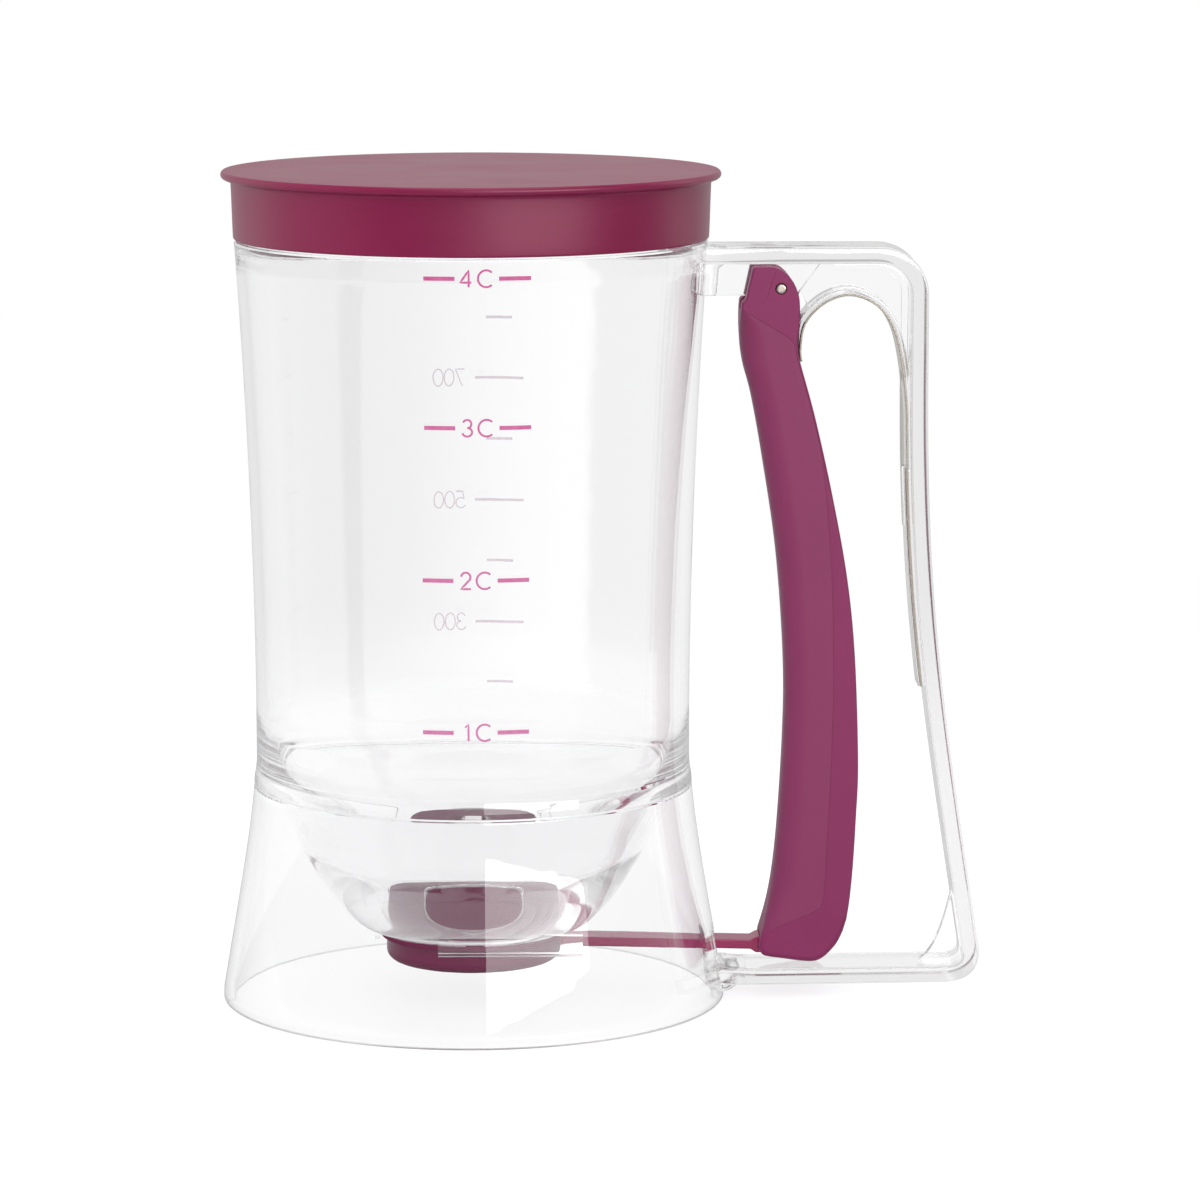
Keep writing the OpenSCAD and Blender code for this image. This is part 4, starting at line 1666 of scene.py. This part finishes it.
@dataclass
class Studio:
    """The pale floor, the soft lamps, the surroundings and the camera."""

    target: tuple = (28.59, -0.75, 90.07)
    distance: float = 1190.0
    azimuth: float = -1.5
    elevation: float = 8.75
    lens: float = 159.0
    middle: tuple = (28.0, 0.0, 90.0)
    lamp_power: float = 4.0
    bounces: int = 160
    floor_rings: tuple = (0.2, 0.4, 0.62)
    floor_fade: tuple = (0.22, 0.6)
    floor_greys: tuple = ((0.54, 0.54, 0.54, 1.0), (0.56, 0.56, 0.56, 1.0))
    seen_glow: float = 0.62
    clear_glow: float = 1.27
    clear_share: float = 0.7

    def build(self) -> None:
        """Builds the studio."""
        self.camera()
        self.floor()
        self.surroundings()
        self.light_paths()
        self.lamp("key", 29, 12.5, 900, 860, 390, 4.2, diffuse=False)
        self.lamp("front", 0, 22, 900, 900, 700, 1.25, glossy=False)
        self.lamp("side", 112, 20, 900, 200, 620, 1.2)
        self.lamp("left", -72, 12, 900, 420, 620, 1.3, glossy=False)
        self.lamp("top", 10, 80, 1200, 1000, 1000, 1.25)

    def light_paths(self) -> None:
        """Lets light bounce often enough inside the clear moulding that none of it ends black."""
        cycles = bpy.context.scene.cycles
        cycles.max_bounces = cycles.glossy_bounces = cycles.transmission_bounces = self.bounces
        cycles.transparent_max_bounces = 32

    @staticmethod
    def aimed(name: str, data: bpy.types.ID, centre: tuple, azimuth: float, elevation: float,
              distance: float) -> Piece:
        """Places a lamp or camera that looks at a point.

        Args:
            name: the object's name.
            data: the lamp or camera.
            centre: the point.
            azimuth: the angle round the point, 0 in front and 90 on the handle's side.
            elevation: the angle above the floor.
            distance: how far from the point it stands.

        Returns:
            The object.
        """
        a, e = math.radians(azimuth), math.radians(elevation)
        back = Vector((math.sin(a) * math.cos(e), -math.cos(a) * math.cos(e), math.sin(e)))
        thing = placed(name, data)
        thing.location = (Vector(centre) + back * distance) * MM
        thing.rotation_euler = (-back).to_track_quat("-Z", "Y").to_euler()
        return thing

    def camera(self) -> None:
        """Places the camera."""
        data = bpy.data.cameras.new("camera")
        data.lens = self.lens
        data.clip_end = 50.0
        bpy.context.scene.camera = self.aimed("camera", data, self.target, self.azimuth, self.elevation,
                                              self.distance)

    def lamp(self, name: str, azimuth: float, elevation: float, distance: float, width: float, height: float,
             radiance: float, diffuse: bool = True, glossy: bool = True) -> None:
        """Adds a soft lamp that faces the object.

        Args:
            name: its name.
            azimuth, elevation: where it stands.
            distance: how far it is.
            width, height: its size.
            radiance: its brightness, where 1 is white.
            diffuse: whether it lights matt surfaces.
            glossy: whether it is mirrored.
        """
        data = bpy.data.lights.new(name, "AREA")
        data.shape = "RECTANGLE"
        data.size, data.size_y = width * MM, height * MM
        data.energy = radiance * self.lamp_power * data.size * data.size_y
        lamp = self.aimed(name, data, self.middle, azimuth, elevation, distance)
        lamp.visible_camera = lamp.visible_transmission = False
        lamp.visible_diffuse, lamp.visible_glossy = diffuse, glossy

    def floor(self) -> None:
        """Lays the floor, which fades into the white surroundings."""
        steps = 64
        turns = [2 * math.pi * k / steps for k in range(steps)]
        points = [(0.0, 0.0, 0.0)] + [(r * math.cos(a), r * math.sin(a), 0.0) for r in self.floor_rings
                                      for a in turns]
        faces = []
        for k in range(steps):
            j = (k + 1) % steps
            faces.append([0, 1 + k, 1 + j])
            for a in range(1, len(points) - steps, steps):
                faces.append([a + k, a + steps + k, a + steps + j, a + j])
        floor = make("floor", points, faces)
        floor.data.materials.append(self.floor_finish())

    def floor_finish(self) -> Material:
        """The floor's pale grey, shown white to the camera and through the clear plastic.

        Returns:
            The material.
        """
        material, node, surface, output = new_material("floor")
        where = node.place()
        node.fill(surface, {
            "Base Color": node.mix(node.noise(where, 8.0), *self.floor_greys),
            "Roughness": 0.5, "Specular IOR Level": 0.25})
        path = node.add("ShaderNodeLightPath").outputs
        glow, even = [node.out("ShaderNodeEmission", {"Color": WHITE, "Strength": strength})
                      for strength in (node.math("MULTIPLY", path["Is Camera Ray"], self.seen_glow),
                                       self.clear_glow)]
        lit = node.out("ShaderNodeAddShader", {0: surface.outputs[0], 1: glow})
        lit = node.blended(node.math("MULTIPLY", path["Is Transmission Ray"], self.clear_share), lit, even)
        away = node.add("ShaderNodeVectorMath", {0: where}, operation="LENGTH").outputs[1]
        fade = node.ramp(away, *self.floor_fade)
        node.fill(output, {"Surface": node.blended(fade, lit, node.out("ShaderNodeBsdfTransparent"))})
        return material

    @staticmethod
    def surroundings() -> None:
        """Sets the world: white where it is looked at, dimmer where it lights and is mirrored."""
        world = bpy.data.worlds.new("studio")
        bpy.context.scene.world = world
        world.use_nodes = True
        world.node_tree.nodes.clear()
        node = Tree(world.node_tree)
        way = node.out("ShaderNodeTexCoord", output="Generated")
        x, y, z = node.add("ShaderNodeSeparateXYZ", {0: way}).outputs
        behind = node.ramp(y, -0.3, 0.6)
        right = node.ramp(x, 0.3, 0.85, 0.0, 0.97)
        left = node.ramp(x, -0.2, -0.9, 1.0, 0.72)
        beside = node.ramp(x, -0.5, -0.97, 0.0, 0.5)
        mirror = node.math("ADD", node.math("MULTIPLY_ADD", behind, 0.52, 0.12), beside)
        bright = node.math("MAXIMUM", behind, right)
        tilt = node.math("MULTIPLY", node.ramp(x, -0.05, 0.04, 0.9, 1.1),
                         node.ramp(x, 0.043, 0.05, 1.0, 0.89))
        high = node.ramp(z, 0.05, 0.6, 1.0, 0.8)
        through = node.math("MULTIPLY", node.math("MULTIPLY_ADD", bright, 0.32, 0.68),
                            node.math("MULTIPLY", left, node.math("MULTIPLY", tilt, high)))
        path = node.add("ShaderNodeLightPath").outputs
        level = node.between(path["Is Glossy Ray"], 0.55, mirror)
        level = node.between(path["Is Transmission Ray"], level, through)
        level = node.between(path["Is Camera Ray"], level, 1.0)
        sky = node.out("ShaderNodeBackground", {"Color": WHITE, "Strength": level})
        node.add("ShaderNodeOutputWorld", {"Surface": sky})


# ---------------------------------------------------------------- the dispenser


def main() -> None:
    """Builds the dispenser and its studio."""
    logging.basicConfig(level=logging.INFO, format="%(name)s: %(message)s")
    bpy.context.scene.view_settings.view_transform = "Standard"
    Studio().build()
    finishes = Finishes()
    bar = swept_bar()
    print_shape = printed_scale()
    pitcher = ClearPitcher()
    pieces = [
        pitcher.build(finishes, bar),
        Scale("cup_scale", cup_lines(CUP_STROKE), CUP_STROKE, 0.0, pitcher.body).build(
            print_shape, finishes.cup_ink),
        Scale("millilitre_scale", ml_lines(ML_STROKE), ML_STROKE, math.pi, pitcher.body).build(
            print_shape, finishes.ml_ink),
        Lid().build(finishes), *Trigger().build(finishes),
        ReturnSpring(pitcher.handle).build(finishes, bar), *Valve().build(finishes)]
    for piece in pieces:
        log.info("%s: %d faces", piece.name, len(piece.data.polygons))


if __name__ == "__main__":
    main()
